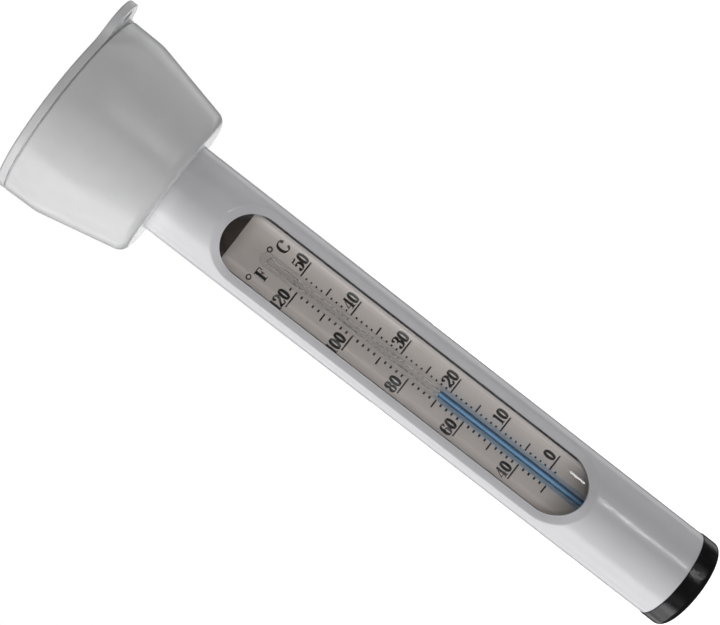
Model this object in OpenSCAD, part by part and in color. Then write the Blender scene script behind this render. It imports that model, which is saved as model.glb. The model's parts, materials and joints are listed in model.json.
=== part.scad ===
// Floating pool thermometer. A hollow float head carries a slim casing tube.
// Behind the casing's long window, a clear sleeve seals a spirit thermometer
// and its scale card, and a ballast slug and a push-in cap close the foot.
// +Z runs up the casing, the window faces -Y, and the origin is on the
// casing's axis at the flat bottom of the end cap. All sizes are in mm.

/* [Casing] */
// Outside diameter of the casing tube
casing_d = 25.2; // [24.6:0.2:27]
// Wall thickness of the casing tube
casing_wall = 2.0; // [1.8:0.1:2.2]
// Length of casing that shows between the end cap and the float
casing_shown = 159.3; // [155:0.5:175]

/* [Window] */
// Width of the window opening
window_w = 16.4; // [14:0.2:17]
// Length of the window opening, round ends included
window_len = 111.6; // [108:0.2:114]
// Height of the window's lower end above the end cap's seam
window_rise = 31.4; // [30:0.2:33]
// Width of the sunk bezel round the window
bezel_w = 2.5; // [1.5:0.1:2.6]
// Depth of the bezel at the window's edge
bezel_depth = 1.0; // [0.5:0.1:1.1]

/* [Float] */
// Diameter of the float at the lid
float_d = 52.3; // [50:0.5:58]
// Height of the float shell
float_h = 32.7; // [30:0.5:38]
// Height of the float's upright lip
lip_h = 9.3; // [6:0.5:12]
// Angle between the float's cone and its axis
float_taper = 12.5; // [8:0.5:14]
// Outside radius of the shoulder under the cone
shoulder_r = 3.4; // [2.5:0.1:5]
// Wall thickness of the float shell
float_wall = 1.8; // [1.5:0.1:2.2]
// Number of ribs round the socket inside the float
socket_ribs = 6; // [3:1:8]

/* [Lid] */
// Thickness of the lid
lid_h = 2.2; // [1.8:0.1:3]
// Shadow gap between the lid and the float's rim
seam_gap = 0.3; // [0.2:0.1:0.5]
// Reach of the tether tab from the casing's axis
tab_reach = 33.0; // [32:0.5:38]
// Radius of the tab's round end
tab_end_r = 7.5; // [6:0.5:8]
// Radius of the fillets where the tab leaves the lid
tab_fillet_r = 6.5; // [4:0.5:8]
// Turn of the tab from +X, negative towards the window side
tab_turn = -32; // [-60:1:0]
// Diameter of the tether eyelet
eyelet_d = 4.0; // [3:0.2:4.4]

/* [End cap] */
// Height of the cap below the casing
cap_h = 5.7; // [5:0.1:8]
// Diameter of the cap
cap_d = 25.6; // [25.2:0.2:28]
// Radius of the cap's bottom edge
cap_edge_r = 1.8; // [1:0.1:2.5]
// Length of the shank that pushes into the casing
shank_h = 5.2; // [5:0.1:5.4]

/* [Thermometer] */
// Diameter of the glass stem
stem_d = 3.8; // [3.4:0.1:4.2]
// Diameter of the capillary bore
bore_d = 1.2; // [0.8:0.1:1.4]
// Diameter of the bulb's cavity
bulb_d = 2.6; // [2.2:0.1:2.8]
// Width of the scale card
card_w = 16.0; // [14:0.2:16.4]
// Thickness of the scale card
card_t = 0.6; // [0.4:0.1:0.8]
// Height of the scale's 0 degree Celsius line
zero_z = 46.9; // [45:0.1:48]
// Scale length of one degree Celsius
degree_h = 1.596; // [1.5:0.002:1.62]
// Temperature that the spirit shows, in degrees Celsius
reading = 21.5; // [18:0.5:40]

/* [Hidden] */
$fn = 96;

// Stock colours
white_abs = [0.90, 0.91, 0.92];
black_plastic = [0.07, 0.07, 0.07];
black_rubber = [0.16, 0.15, 0.15];
steel = [0.62, 0.63, 0.65];
card_grey = [0.72, 0.69, 0.67];
clear_plastic = [0.85, 0.92, 0.95, 0.35];
clear_glass = [0.80, 0.92, 0.90, 0.45];
spirit_blue = [0.10, 0.35, 0.70];

eps = 0.01;
slip = 0.05;        // radial clearance of the cap's shank in the casing
glue_gap = 0.05;    // radial gap of a bonded socket or a bung

// Casing, from the end cap's seam up into the float's socket
casing_r = casing_d / 2;
casing_bore_r = casing_r - casing_wall;
casing_z = cap_h;
float_z = casing_z + casing_shown;
socket_depth = 14;
casing_top = float_z + socket_depth;
window_z = casing_z + window_rise;
window_top = window_z + window_len;
stop_z = 157;       // underside of the ring that stops the clear sleeve
stop_h = 2;
stop_proud = 1;

// Clear sleeve
sleeve_r = casing_bore_r - 0.15;
sleeve_wall = 1;
sleeve_bore_r = sleeve_r - sleeve_wall;
sleeve_z = 17.7;

// Float and lid
float_r = float_d / 2;
rim_z = float_z + float_h;
lid_z = rim_z + seam_gap;
knee_z = rim_z - lip_h;
lip_draft = 0.2;
lip_lean = atan(lip_draft / lip_h);
knee_r = float_r - lip_draft;
knee_bend_r = 16;   // radius of the bend between the cone and the lip
rim_edge_r = 0.4;
shoulder_z = float_z + shoulder_r;
shoulder_x = knee_r - tan(float_taper) * (knee_z - shoulder_z) - shoulder_r / cos(float_taper);
ledge_w = 0.9;
socket_r = casing_r + glue_gap;
socket_wall = 1.9;
socket_roof = 1.6;
spigot_h = 3.2;
spigot_wall = 1.4;
lid_rib_h = 1.6;
tab_centre = tab_reach - tab_end_r;
eyelet_margin = 1.7;
eyelet_at = tab_reach - eyelet_margin - eyelet_d / 2;

// End cap, its seal and the ballast above it
cap_r = cap_d / 2;
shank_r = casing_bore_r - slip;
shank_core_r = 7.5;
cap_floor = 2.6;
seal_section_r = 0.75;
seal_r = casing_bore_r - 0.03 - seal_section_r;
seal_z = cap_h + 2.6;
groove_h = 2 * seal_section_r + 0.2;
ballast_z = cap_h + shank_h + 0.3;
ballast_top = sleeve_z - 0.6;

// Thermometer cartridge: the card and the stem lie a little left of centre
cartridge_x = -0.2;
card_face_y = 0.5;
card_z = 20.6;
bung_z = 145.2;
slot_depth = 2.4;
stem_r = stem_d / 2;
stem_y = card_face_y - 0.05 - stem_r;
stem_z = 18.95;
stem_top = 137.8;
bore_r = bore_d / 2;
bulb_r = bulb_d / 2;
bulb_z = stem_z + 1.3;
bulb_top = 26.8;
neck_z = bulb_top + (bulb_r - bore_r);
relief_z = 133.5;
relief_r = 0.9;
spirit_z = zero_z + reading * degree_h;
meniscus_h = 0.45;
clip_z = 31.5;
clip_wire_r = 0.25;
clip_r = stem_r + 0.05 + clip_wire_r;
clip_back_y = card_face_y + card_t + 0.05 + clip_wire_r;
clip_foot = 1.8;

// ---- Shared shapes ------------------------------------------------------

// Window outline in the XZ plane: straight sides between two round ends
module window_outline() {
    end_r = window_w / 2;
    for (z = [window_z + end_r, window_top - end_r])
        translate([0, z]) circle(r = end_r);
    translate([-end_r, window_z + end_r])
        square([window_w, window_len - window_w]);
}

// Bezel profile: share of the bezel's width, and how far below the casing's
// surface it lies there as a share of the bezel's depth, steeper towards the glass
bezel_slope = [[-0.2, 1.25], [0.45, 0.42], [1.1, -0.1]];

// A point at an offset w from a centre at height z, in direction a seen from the
// front, laid on a cylinder of radius r round the casing's axis
function laid_point(a, z, w, r) =
    let (x = w * cos(a))
    [x, -sqrt(r * r - x * x), z + w * sin(a)];

// The ring of air that sinks the bezel: a short profile carried round the
// window's outline, one half turn at each end, and laid on the casing's curve
module bezel_cutter() {
    half_turn = 24;
    inner = window_w / 2;
    over = 1.2;
    slope = [for (p = bezel_slope) [inner + bezel_w * p[0], casing_r - bezel_depth * p[1]]];
    profile = concat(slope, [[slope[2][0], casing_r + over], [slope[0][0], casing_r + over]]);
    stations = concat(
        [for (i = [0 : half_turn]) [i * 180 / half_turn, window_top - inner]],
        [for (i = [0 : half_turn]) [180 + i * 180 / half_turn, window_z + inner]]
    );
    n = len(profile);
    m = len(stations);
    points = [for (s = stations) for (p = profile) laid_point(s[0], s[1], p[0], p[1])];
    faces = [
        for (i = [0 : m - 1]) for (j = [0 : n - 1])
            let (next_i = (i + 1) % m)
            let (next_j = (j + 1) % n)
            each [
                [i * n + j, i * n + next_j, next_i * n + j],
                [next_i * n + j, i * n + next_j, next_i * n + next_j]
            ]
    ];
    polyhedron(points, faces);
}

// Half profile of the float cup, pulled in by a skin on its side and floor,
// with its upper edge rounded by edge_r
module cup_outline(skin, top, edge_r) {
    arc_r = shoulder_r - skin;
    tangent = [
        shoulder_x + arc_r * cos(float_taper),
        shoulder_z - arc_r * sin(float_taper)
    ];
    bend_steps = 4;
    bend_turn = float_taper - lip_lean;
    bend_reach = knee_bend_r / cos(bend_turn / 2);
    bend_centre = [
        knee_r - bend_reach * cos(lip_lean + bend_turn / 2),
        knee_z + bend_reach * sin(lip_lean + bend_turn / 2)
    ];
    bend = [
        for (i = [0 : bend_steps])
            let (a = -float_taper + bend_turn * i / bend_steps)
            bend_centre + (knee_bend_r - skin) * [cos(a), sin(a)]
    ];
    polygon(concat(
        [[0, float_z + skin], [shoulder_x, float_z + skin], tangent],
        bend,
        [[float_r - skin, top - edge_r], [float_r - skin - edge_r, top], [0, top]]
    ));
    translate([shoulder_x, shoulder_z]) circle(r = arc_r);
    translate([float_r - skin - edge_r, top - edge_r]) circle(r = edge_r, $fn = 24);
}

// Lid outline: the disc, the tab's round end and the two fillets between them
module lid_outline() {
    fillet_reach = float_r + tab_fillet_r;
    end_gap = tab_end_r + tab_fillet_r;
    swing = acos((pow(fillet_reach, 2) + pow(tab_centre, 2) - pow(end_gap, 2))
        / (2 * fillet_reach * tab_centre));
    circle(r = float_r, $fn = 180);
    translate([tab_centre, 0]) circle(r = tab_end_r);
    for (side = [-1, 1]) {
        centre = fillet_reach * [cos(swing), side * sin(swing)];
        difference() {
            polygon([[0, 0], centre, [tab_centre, 0]]);
            translate(centre) circle(r = tab_fillet_r);
        }
    }
}

// ---- Float --------------------------------------------------------------

// Lid with its tether tab, the spigot that centres it and stiffening ribs
module float_lid() {
    spigot_r = float_r - float_wall - 0.15;
    color(white_abs) {
        translate([0, 0, lid_z])
            rotate([0, 0, tab_turn])
                linear_extrude(lid_h)
                    difference() {
                        lid_outline();
                        translate([eyelet_at, 0]) circle(d = eyelet_d);
                    }
        translate([0, 0, lid_z - spigot_h])
            linear_extrude(spigot_h + eps)
                difference() {
                    circle(r = spigot_r);
                    circle(r = spigot_r - spigot_wall);
                }
        for (turn = [0, 60, 120])
            rotate([0, 0, turn])
                translate([-spigot_r + spigot_wall / 2, -0.6, lid_z - lid_rib_h])
                    cube([2 * spigot_r - spigot_wall, 1.2, lid_rib_h + eps]);
    }
}

// One rib between the socket and the floor of the float
module socket_rib() {
    rib_t = 1.2;
    rib_h = 9;
    foot = shoulder_x - socket_r - 0.6;
    translate([0, rib_t / 2, 0])
        rotate([90, 0, 0])
            linear_extrude(rib_t)
                polygon([
                    [socket_r + socket_wall / 2, float_z + float_wall / 2],
                    [socket_r + foot, float_z + float_wall / 2],
                    [socket_r + foot, float_z + float_wall + 1],
                    [socket_r + socket_wall / 2, float_z + float_wall + rib_h]
                ]);
}

// Float shell: a conical cup with a blind socket for the casing in its floor
module float_shell() {
    color(white_abs) {
        difference() {
            union() {
                rotate_extrude()
                    difference() {
                        intersection() {
                            cup_outline(0, rim_z, rim_edge_r);
                            translate([0, float_z - 1]) square([float_r + 1, float_h + 2]);
                        }
                        cup_outline(float_wall, rim_z + 1, 0.5);
                    }
                // Ledge inside the rim, which carries the lid
                translate([0, 0, rim_z - 1])
                    linear_extrude(1 + seam_gap)
                        difference() {
                            circle(r = float_r - float_wall + ledge_w);
                            circle(r = float_r - float_wall);
                        }
                translate([0, 0, float_z])
                    cylinder(r = socket_r + socket_wall, h = socket_depth + socket_roof);
                for (i = [0 : socket_ribs - 1])
                    rotate([0, 0, i * 360 / socket_ribs]) socket_rib();
            }
            translate([0, 0, float_z - 1])
                cylinder(r = socket_r, h = socket_depth + 1);
        }
    }
}

// ---- Casing -------------------------------------------------------------

// Casing tube: round bore, stop ring for the sleeve, and the window in its bezel
module casing_tube() {
    lead_in = 0.4;
    color(white_abs)
        difference() {
            union() {
                translate([0, 0, casing_z])
                    difference() {
                        cylinder(r = casing_r, h = casing_top - casing_z);
                        translate([0, 0, -1])
                            cylinder(r = casing_bore_r, h = casing_top - casing_z + 2);
                    }
                translate([0, 0, stop_z])
                    difference() {
                        cylinder(r = casing_bore_r + casing_wall / 2, h = stop_h);
                        translate([0, 0, -1])
                            cylinder(r = casing_bore_r - stop_proud, h = stop_h + 2);
                    }
            }
            translate([0, 0, casing_z - eps])
                cylinder(r1 = casing_bore_r + lead_in, r2 = casing_bore_r, h = lead_in);
            rotate([90, 0, 0])
                linear_extrude(casing_r + 1) window_outline();
            bezel_cutter();
        }
}

// Clear sleeve that seals the cartridge behind the window
module clear_sleeve() {
    color(clear_plastic)
        translate([0, 0, sleeve_z])
            difference() {
                cylinder(r = sleeve_r, h = stop_z - sleeve_z);
                translate([0, 0, -1])
                    cylinder(r = sleeve_bore_r, h = stop_z - sleeve_z + 2);
            }
}

// ---- Bungs --------------------------------------------------------------

// Bung body with round sealing lips
module lipped_bung(z, h, lips) {
    lip_r = 0.35;
    body_r = sleeve_bore_r - glue_gap - lip_r;
    translate([0, 0, z])
        rotate_extrude()
            union() {
                square([body_r, h]);
                for (i = [1 : lips])
                    translate([body_r, h * i / (lips + 1)]) circle(r = lip_r, $fn = 32);
            }
}

// Slot that holds an end of the scale card
module card_slot(z, h) {
    play = 0.1;
    translate([cartridge_x - card_w / 2 - play, card_face_y - play, z])
        cube([card_w + 2 * play, card_t + 2 * play, h]);
}

// Top bung: closes the sleeve and holds the card's upper edge
module top_bung() {
    color(black_rubber)
        difference() {
            union() {
                lipped_bung(bung_z, 8, 3);
                translate([0, 0, bung_z])
                    cylinder(r = sleeve_bore_r - glue_gap, h = 3.4);
            }
            card_slot(bung_z - 1, slot_depth + 1);
        }
}

// Bottom bung: closes the sleeve's foot and seats the card and the bulb
module bottom_bung() {
    flange_h = 0.5;
    color(black_rubber)
        difference() {
            union() {
                lipped_bung(sleeve_z, 5, 2);
                translate([0, 0, sleeve_z - flange_h])
                    cylinder(r = sleeve_r, h = flange_h);
            }
            card_slot(card_z - 0.1, 10);
            translate([cartridge_x, stem_y, stem_z - 0.1])
                cylinder(r = stem_r + glue_gap, h = 10);
        }
}

// ---- Thermometer --------------------------------------------------------

// Scale card, with two holes for the clip's legs
module scale_card() {
    color(card_grey)
        difference() {
            translate([cartridge_x - card_w / 2, card_face_y, card_z])
                cube([card_w, card_t, bung_z + slot_depth - 0.2 - card_z]);
            for (side = [-1, 1])
                translate([cartridge_x + side * clip_r, card_face_y - 1, clip_z])
                    rotate([-90, 0, 0]) cylinder(r = clip_wire_r + 0.1, h = 3);
        }
}

// The bulb's cavity, its taper to the bore, the bore and the relief chamber
module stem_cavity() {
    translate([0, 0, bulb_z + bulb_r]) sphere(r = bulb_r);
    translate([0, 0, bulb_z + bulb_r]) cylinder(r = bulb_r, h = bulb_top - bulb_z - bulb_r);
    translate([0, 0, bulb_top])
        cylinder(r1 = bulb_r, r2 = bore_r, h = neck_z - bulb_top);
    translate([0, 0, neck_z - eps]) cylinder(r = bore_r, h = relief_z - neck_z + 2 * eps);
    translate([0, 0, relief_z]) cylinder(r = relief_r, h = 1.4);
    translate([0, 0, relief_z + 1.4]) sphere(r = relief_r);
}

// Glass stem with round ends and a straight bulb
module glass_stem() {
    color(clear_glass)
        translate([cartridge_x, stem_y, 0])
            difference() {
                union() {
                    translate([0, 0, stem_z + stem_r])
                        cylinder(r = stem_r, h = stem_top - stem_z - 2 * stem_r);
                    translate([0, 0, stem_z + stem_r]) sphere(r = stem_r);
                    translate([0, 0, stem_top - stem_r]) sphere(r = stem_r);
                }
                stem_cavity();
            }
}

// Wire clip: a half hoop round the stem whose legs pass the card and fold back
module stem_clip() {
    leg_h = clip_back_y - stem_y;
    color(steel)
        translate([cartridge_x, stem_y, clip_z]) {
            rotate([0, 0, 180])
                rotate_extrude(angle = 180)
                    translate([clip_r, 0]) circle(r = clip_wire_r, $fn = 24);
            for (side = [-1, 1]) {
                translate([side * clip_r, 0, 0])
                    rotate([-90, 0, 0]) cylinder(r = clip_wire_r, h = leg_h, $fn = 24);
                translate([side * clip_r, leg_h, 0]) sphere(r = clip_wire_r, $fn = 24);
                translate([side * clip_r, leg_h, 0])
                    rotate([0, side * 90, 0]) cylinder(r = clip_wire_r, h = clip_foot, $fn = 24);
            }
        }
}

// Spirit that fills the bulb up to the bore
module bulb_spirit() {
    color(spirit_blue)
        translate([cartridge_x, stem_y, 0]) {
            translate([0, 0, bulb_z + bulb_r]) sphere(r = bulb_r);
            translate([0, 0, bulb_z + bulb_r])
                cylinder(r = bulb_r, h = bulb_top - bulb_z - bulb_r);
            translate([0, 0, bulb_top])
                cylinder(r1 = bulb_r, r2 = bore_r, h = neck_z - bulb_top);
        }
}

// Thread of spirit in the bore
module spirit_column() {
    color(spirit_blue)
        translate([cartridge_x, stem_y, neck_z])
            cylinder(r = bore_r, h = spirit_z - meniscus_h - neck_z);
}

// Top of the thread, hollowed by its meniscus
module spirit_meniscus() {
    dip = 0.2;
    hollow_r = (pow(bore_r, 2) + pow(dip, 2)) / (2 * dip);
    color(spirit_blue)
        translate([cartridge_x, stem_y, 0])
            difference() {
                translate([0, 0, spirit_z - meniscus_h])
                    cylinder(r = bore_r - 0.02, h = meniscus_h);
                translate([0, 0, spirit_z - dip + hollow_r]) sphere(r = hollow_r);
            }
}

// ---- Foot ---------------------------------------------------------------

// Steel slug that keeps the casing upright in the water
module ballast_weight() {
    slug_r = casing_bore_r - 0.3;
    bevel = 0.6;
    slug_h = ballast_top - ballast_z;
    color(steel)
        translate([0, 0, ballast_z])
            rotate_extrude()
                polygon([
                    [0, 0], [slug_r - bevel, 0], [slug_r, bevel],
                    [slug_r, slug_h - bevel], [slug_r - bevel, slug_h], [0, slug_h]
                ]);
}

// Round seal in the shank's groove
module cap_seal() {
    color(black_rubber)
        translate([0, 0, seal_z])
            rotate_extrude() translate([seal_r, 0]) circle(r = seal_section_r, $fn = 32);
}

// Push-in end cap: round-edged foot, hollow shank and the seal's groove
module end_cap() {
    lead_in = 0.5;
    shank_top = cap_h + shank_h;
    color(black_plastic)
        rotate_extrude()
            difference() {
                union() {
                    translate([0, cap_edge_r]) square([cap_r, cap_h - cap_edge_r]);
                    square([cap_r - cap_edge_r, cap_h]);
                    translate([cap_r - cap_edge_r, cap_edge_r]) circle(r = cap_edge_r);
                    polygon([
                        [0, cap_h - eps], [shank_r, cap_h - eps], [shank_r, shank_top - lead_in],
                        [shank_r - lead_in, shank_top], [0, shank_top]
                    ]);
                }
                translate([0, cap_floor]) square([shank_core_r, cap_h + shank_h]);
                translate([seal_r - seal_section_r - 0.02, seal_z - groove_h / 2])
                    square([3, groove_h]);
            }
}

float_lid();
float_shell();
casing_tube();
clear_sleeve();
top_bung();
bottom_bung();
scale_card();
glass_stem();
stem_clip();
bulb_spirit();
spirit_column();
spirit_meniscus();
ballast_weight();
cap_seal();
end_cap();
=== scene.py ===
"""Looks of a floating pool thermometer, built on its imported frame.

The thermometer stands on its end cap with the casing's axis on Z and the
window towards -Y. Each sub-assembly is a class that holds its sizes in
millimetres, builds its meshes from whole arrays of points and gives them
their finishes. Each finish is a frozen class, and what finishes share
(moulded grain, handling marks, drawn lines) are node groups.
"""

import json
import logging
import math
from dataclasses import dataclass
from enum import Enum
from typing import Any, Callable, Dict, List, Optional, Sequence, Tuple

import bmesh
import bpy
import numpy as np
from mathutils import Matrix, Vector
from mathutils.geometry import tessellate_polygon

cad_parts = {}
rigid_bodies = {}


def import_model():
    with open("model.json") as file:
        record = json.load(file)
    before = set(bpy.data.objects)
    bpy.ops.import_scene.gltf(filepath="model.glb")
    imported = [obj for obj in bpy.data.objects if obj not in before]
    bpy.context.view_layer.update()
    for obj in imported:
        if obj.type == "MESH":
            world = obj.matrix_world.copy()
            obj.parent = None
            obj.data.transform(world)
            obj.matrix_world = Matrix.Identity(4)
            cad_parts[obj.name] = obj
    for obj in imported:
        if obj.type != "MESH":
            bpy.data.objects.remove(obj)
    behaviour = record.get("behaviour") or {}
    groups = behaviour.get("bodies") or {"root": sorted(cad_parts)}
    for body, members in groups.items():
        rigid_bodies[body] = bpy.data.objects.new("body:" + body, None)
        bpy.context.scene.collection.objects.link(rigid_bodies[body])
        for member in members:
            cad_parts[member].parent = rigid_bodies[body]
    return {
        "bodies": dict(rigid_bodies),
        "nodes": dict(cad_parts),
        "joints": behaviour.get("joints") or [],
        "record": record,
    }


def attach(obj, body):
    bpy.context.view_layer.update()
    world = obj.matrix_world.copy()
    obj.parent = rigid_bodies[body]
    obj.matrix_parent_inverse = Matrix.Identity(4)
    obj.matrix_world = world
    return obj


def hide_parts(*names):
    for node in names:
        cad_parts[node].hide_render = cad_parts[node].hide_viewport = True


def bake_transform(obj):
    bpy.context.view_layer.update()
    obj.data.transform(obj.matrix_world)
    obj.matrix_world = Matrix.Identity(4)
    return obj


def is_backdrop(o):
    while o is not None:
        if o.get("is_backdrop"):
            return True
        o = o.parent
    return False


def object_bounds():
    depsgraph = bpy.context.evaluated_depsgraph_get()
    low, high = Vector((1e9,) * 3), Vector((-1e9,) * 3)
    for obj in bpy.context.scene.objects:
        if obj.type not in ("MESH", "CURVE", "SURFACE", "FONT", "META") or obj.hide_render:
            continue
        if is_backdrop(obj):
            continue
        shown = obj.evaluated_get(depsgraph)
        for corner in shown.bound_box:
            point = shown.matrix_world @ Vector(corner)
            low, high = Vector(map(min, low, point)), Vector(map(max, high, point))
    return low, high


Array = np.ndarray
Colour = Tuple[float, float, float]
Corner = Tuple[float, float, float]

MM = 0.001
TINY = 1e-9
WHITE = (1.0, 1.0, 1.0, 1.0)
log = logging.getLogger("pool_thermometer")


class Body(Enum):
    """The bodies that pieces ride on."""

    CASING = "casing"
    SPIRIT_TOP = "spirit_top"
    CAP = "cap"


class Slot(Enum):
    """The record's material slots."""

    FLOAT = "float_plastic"
    CASING = "casing_plastic"
    CLEAR = "clear_plastic"
    CARD = "scale_card"
    GLASS = "stem_glass"
    SPIRIT = "blue_spirit"
    CAP = "cap_plastic"


class Role(Enum):
    """What a light is for: a wash lights the surfaces, and a sheen shows in their gloss."""

    WASH = "wash"
    SHEEN = "sheen"


class Lit(Enum):
    """The groups of pieces that a light can be kept to."""

    SKIN = ("window_casing", "float_head_shell", "float_head_lid", "push_in_cap")
    SLEEVE = ("window_sleeve",)
    CARTRIDGE = (
        "celsius_print", "fahrenheit_print", "thermometer_stem", "spirit_thread", "scale_card",
        "top_bung", "bottom_bung",
    )


class Tick(Enum):
    """The three lengths of line on a scale."""

    SHORT = 0
    MEDIUM = 1
    LONG = 2


# ---- Curves and surfaces as arrays ---------------------------------------


def fillet(before: Array, corner: Array, after: Array, radius: float, steps: int) -> Array:
    """Rounds one corner of a profile.

    With u and v the unit directions from the corner to its neighbours and t
    half the angle between them, the arc's centre lies radius / sin(t) from
    the corner along u + v. The arc turns its first spoke into its last by
    spherical interpolation. A holding point stands on the straight run on
    each side, 0.35 of the radius or 0.3 of the run from the arc, whichever is
    less, so that the run keeps straight shading.

    Args:
        before: the profile's point before the corner.
        corner: the corner itself.
        after: the profile's point after the corner.
        radius: radius of the arc, or 0 to keep the corner sharp.
        steps: number of chords in the arc.

    Returns:
        The points that stand for the corner, one row each.
    """
    if radius <= 0.0:
        return corner[None, :]
    to_before, to_after = before - corner, after - corner
    run_before, run_after = np.linalg.norm(to_before), np.linalg.norm(to_after)
    u, v = to_before / run_before, to_after / run_after
    half = 0.5 * math.acos(float(np.clip(u @ v, -1.0, 1.0)))
    reach = radius / math.tan(half)
    centre = corner + (u + v) / np.linalg.norm(u + v) * radius / math.sin(half)
    first, last = corner + u * reach, corner + v * reach
    sweep = math.pi - 2.0 * half
    share = np.linspace(0.0, 1.0, steps + 1)[:, None]
    spokes = np.sin((1.0 - share) * sweep) * (first - centre) + np.sin(share * sweep) * (last - centre)
    arc = centre + spokes / math.sin(sweep)
    hold_before, hold_after = (
        min(0.35 * radius, 0.3 * max(run - reach, 0.0)) for run in (run_before, run_after)
    )
    return np.vstack([first + u * hold_before, arc, last + v * hold_after])


def rounded_profile(corners: Sequence[Corner], steps: int = 8) -> Array:
    """Profile of straight runs with rounded corners.

    Args:
        corners: radius from the axis, height and rounding of each corner.
        steps: number of chords in each rounding.

    Returns:
        The profile's points (r, z), in order.
    """
    points = np.array(corners, float)
    rows = [points[:1, :2]]
    for before, here, after in zip(points[:-2], points[1:-1], points[2:]):
        rows.append(fillet(before[:2], here[:2], after[:2], float(here[2]), steps))
    rows.append(points[-1:, :2])
    return np.vstack(rows)


def lathe(profile: Array, segments: int, axis: Tuple[float, float] = (0.0, 0.0)) -> Array:
    """Turns a profile round an upright axis.

    The profile's point (r, z) at turn a lies at x0 + r cos a, y0 + r sin a, z.
    A profile that climbs has its outer side outwards.

    Args:
        profile: points (r, z).
        segments: number of segments in the full turn.
        axis: x0 and y0 of the axis.

    Returns:
        Grid of points, profile by turn.
    """
    turn = np.linspace(0.0, 2.0 * math.pi, segments, endpoint=False)
    r, z = profile[:, :1], profile[:, 1:]
    return np.stack(
        [axis[0] + r * np.cos(turn), axis[1] + r * np.sin(turn), z + 0.0 * turn], axis=-1
    )


def spline(knots: Array, samples: int = 10) -> Array:
    """Smooth curve through its knots.

    Each span is the Catmull-Rom cubic of its two knots and their outer
    neighbours, and the curve's ends mirror their neighbours.

    Args:
        knots: points (x, y), in order.
        samples: number of points in each span.

    Returns:
        Points on the curve, ends included.
    """
    padded = np.vstack([2.0 * knots[0] - knots[1], knots, 2.0 * knots[-1] - knots[-2]])
    a, b, c, d = (padded[i : len(padded) - 3 + i, None, :] for i in range(4))
    t = np.linspace(0.0, 1.0, samples, endpoint=False)[None, :, None]
    curve = 0.5 * (2.0 * b + (c - a) * t + (2.0 * a - 5.0 * b + 4.0 * c - d) * t**2)
    curve = curve + 0.5 * (3.0 * b - a - 3.0 * c + d) * t**3
    return np.vstack([curve.reshape(-1, 2), knots[-1:]])


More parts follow.
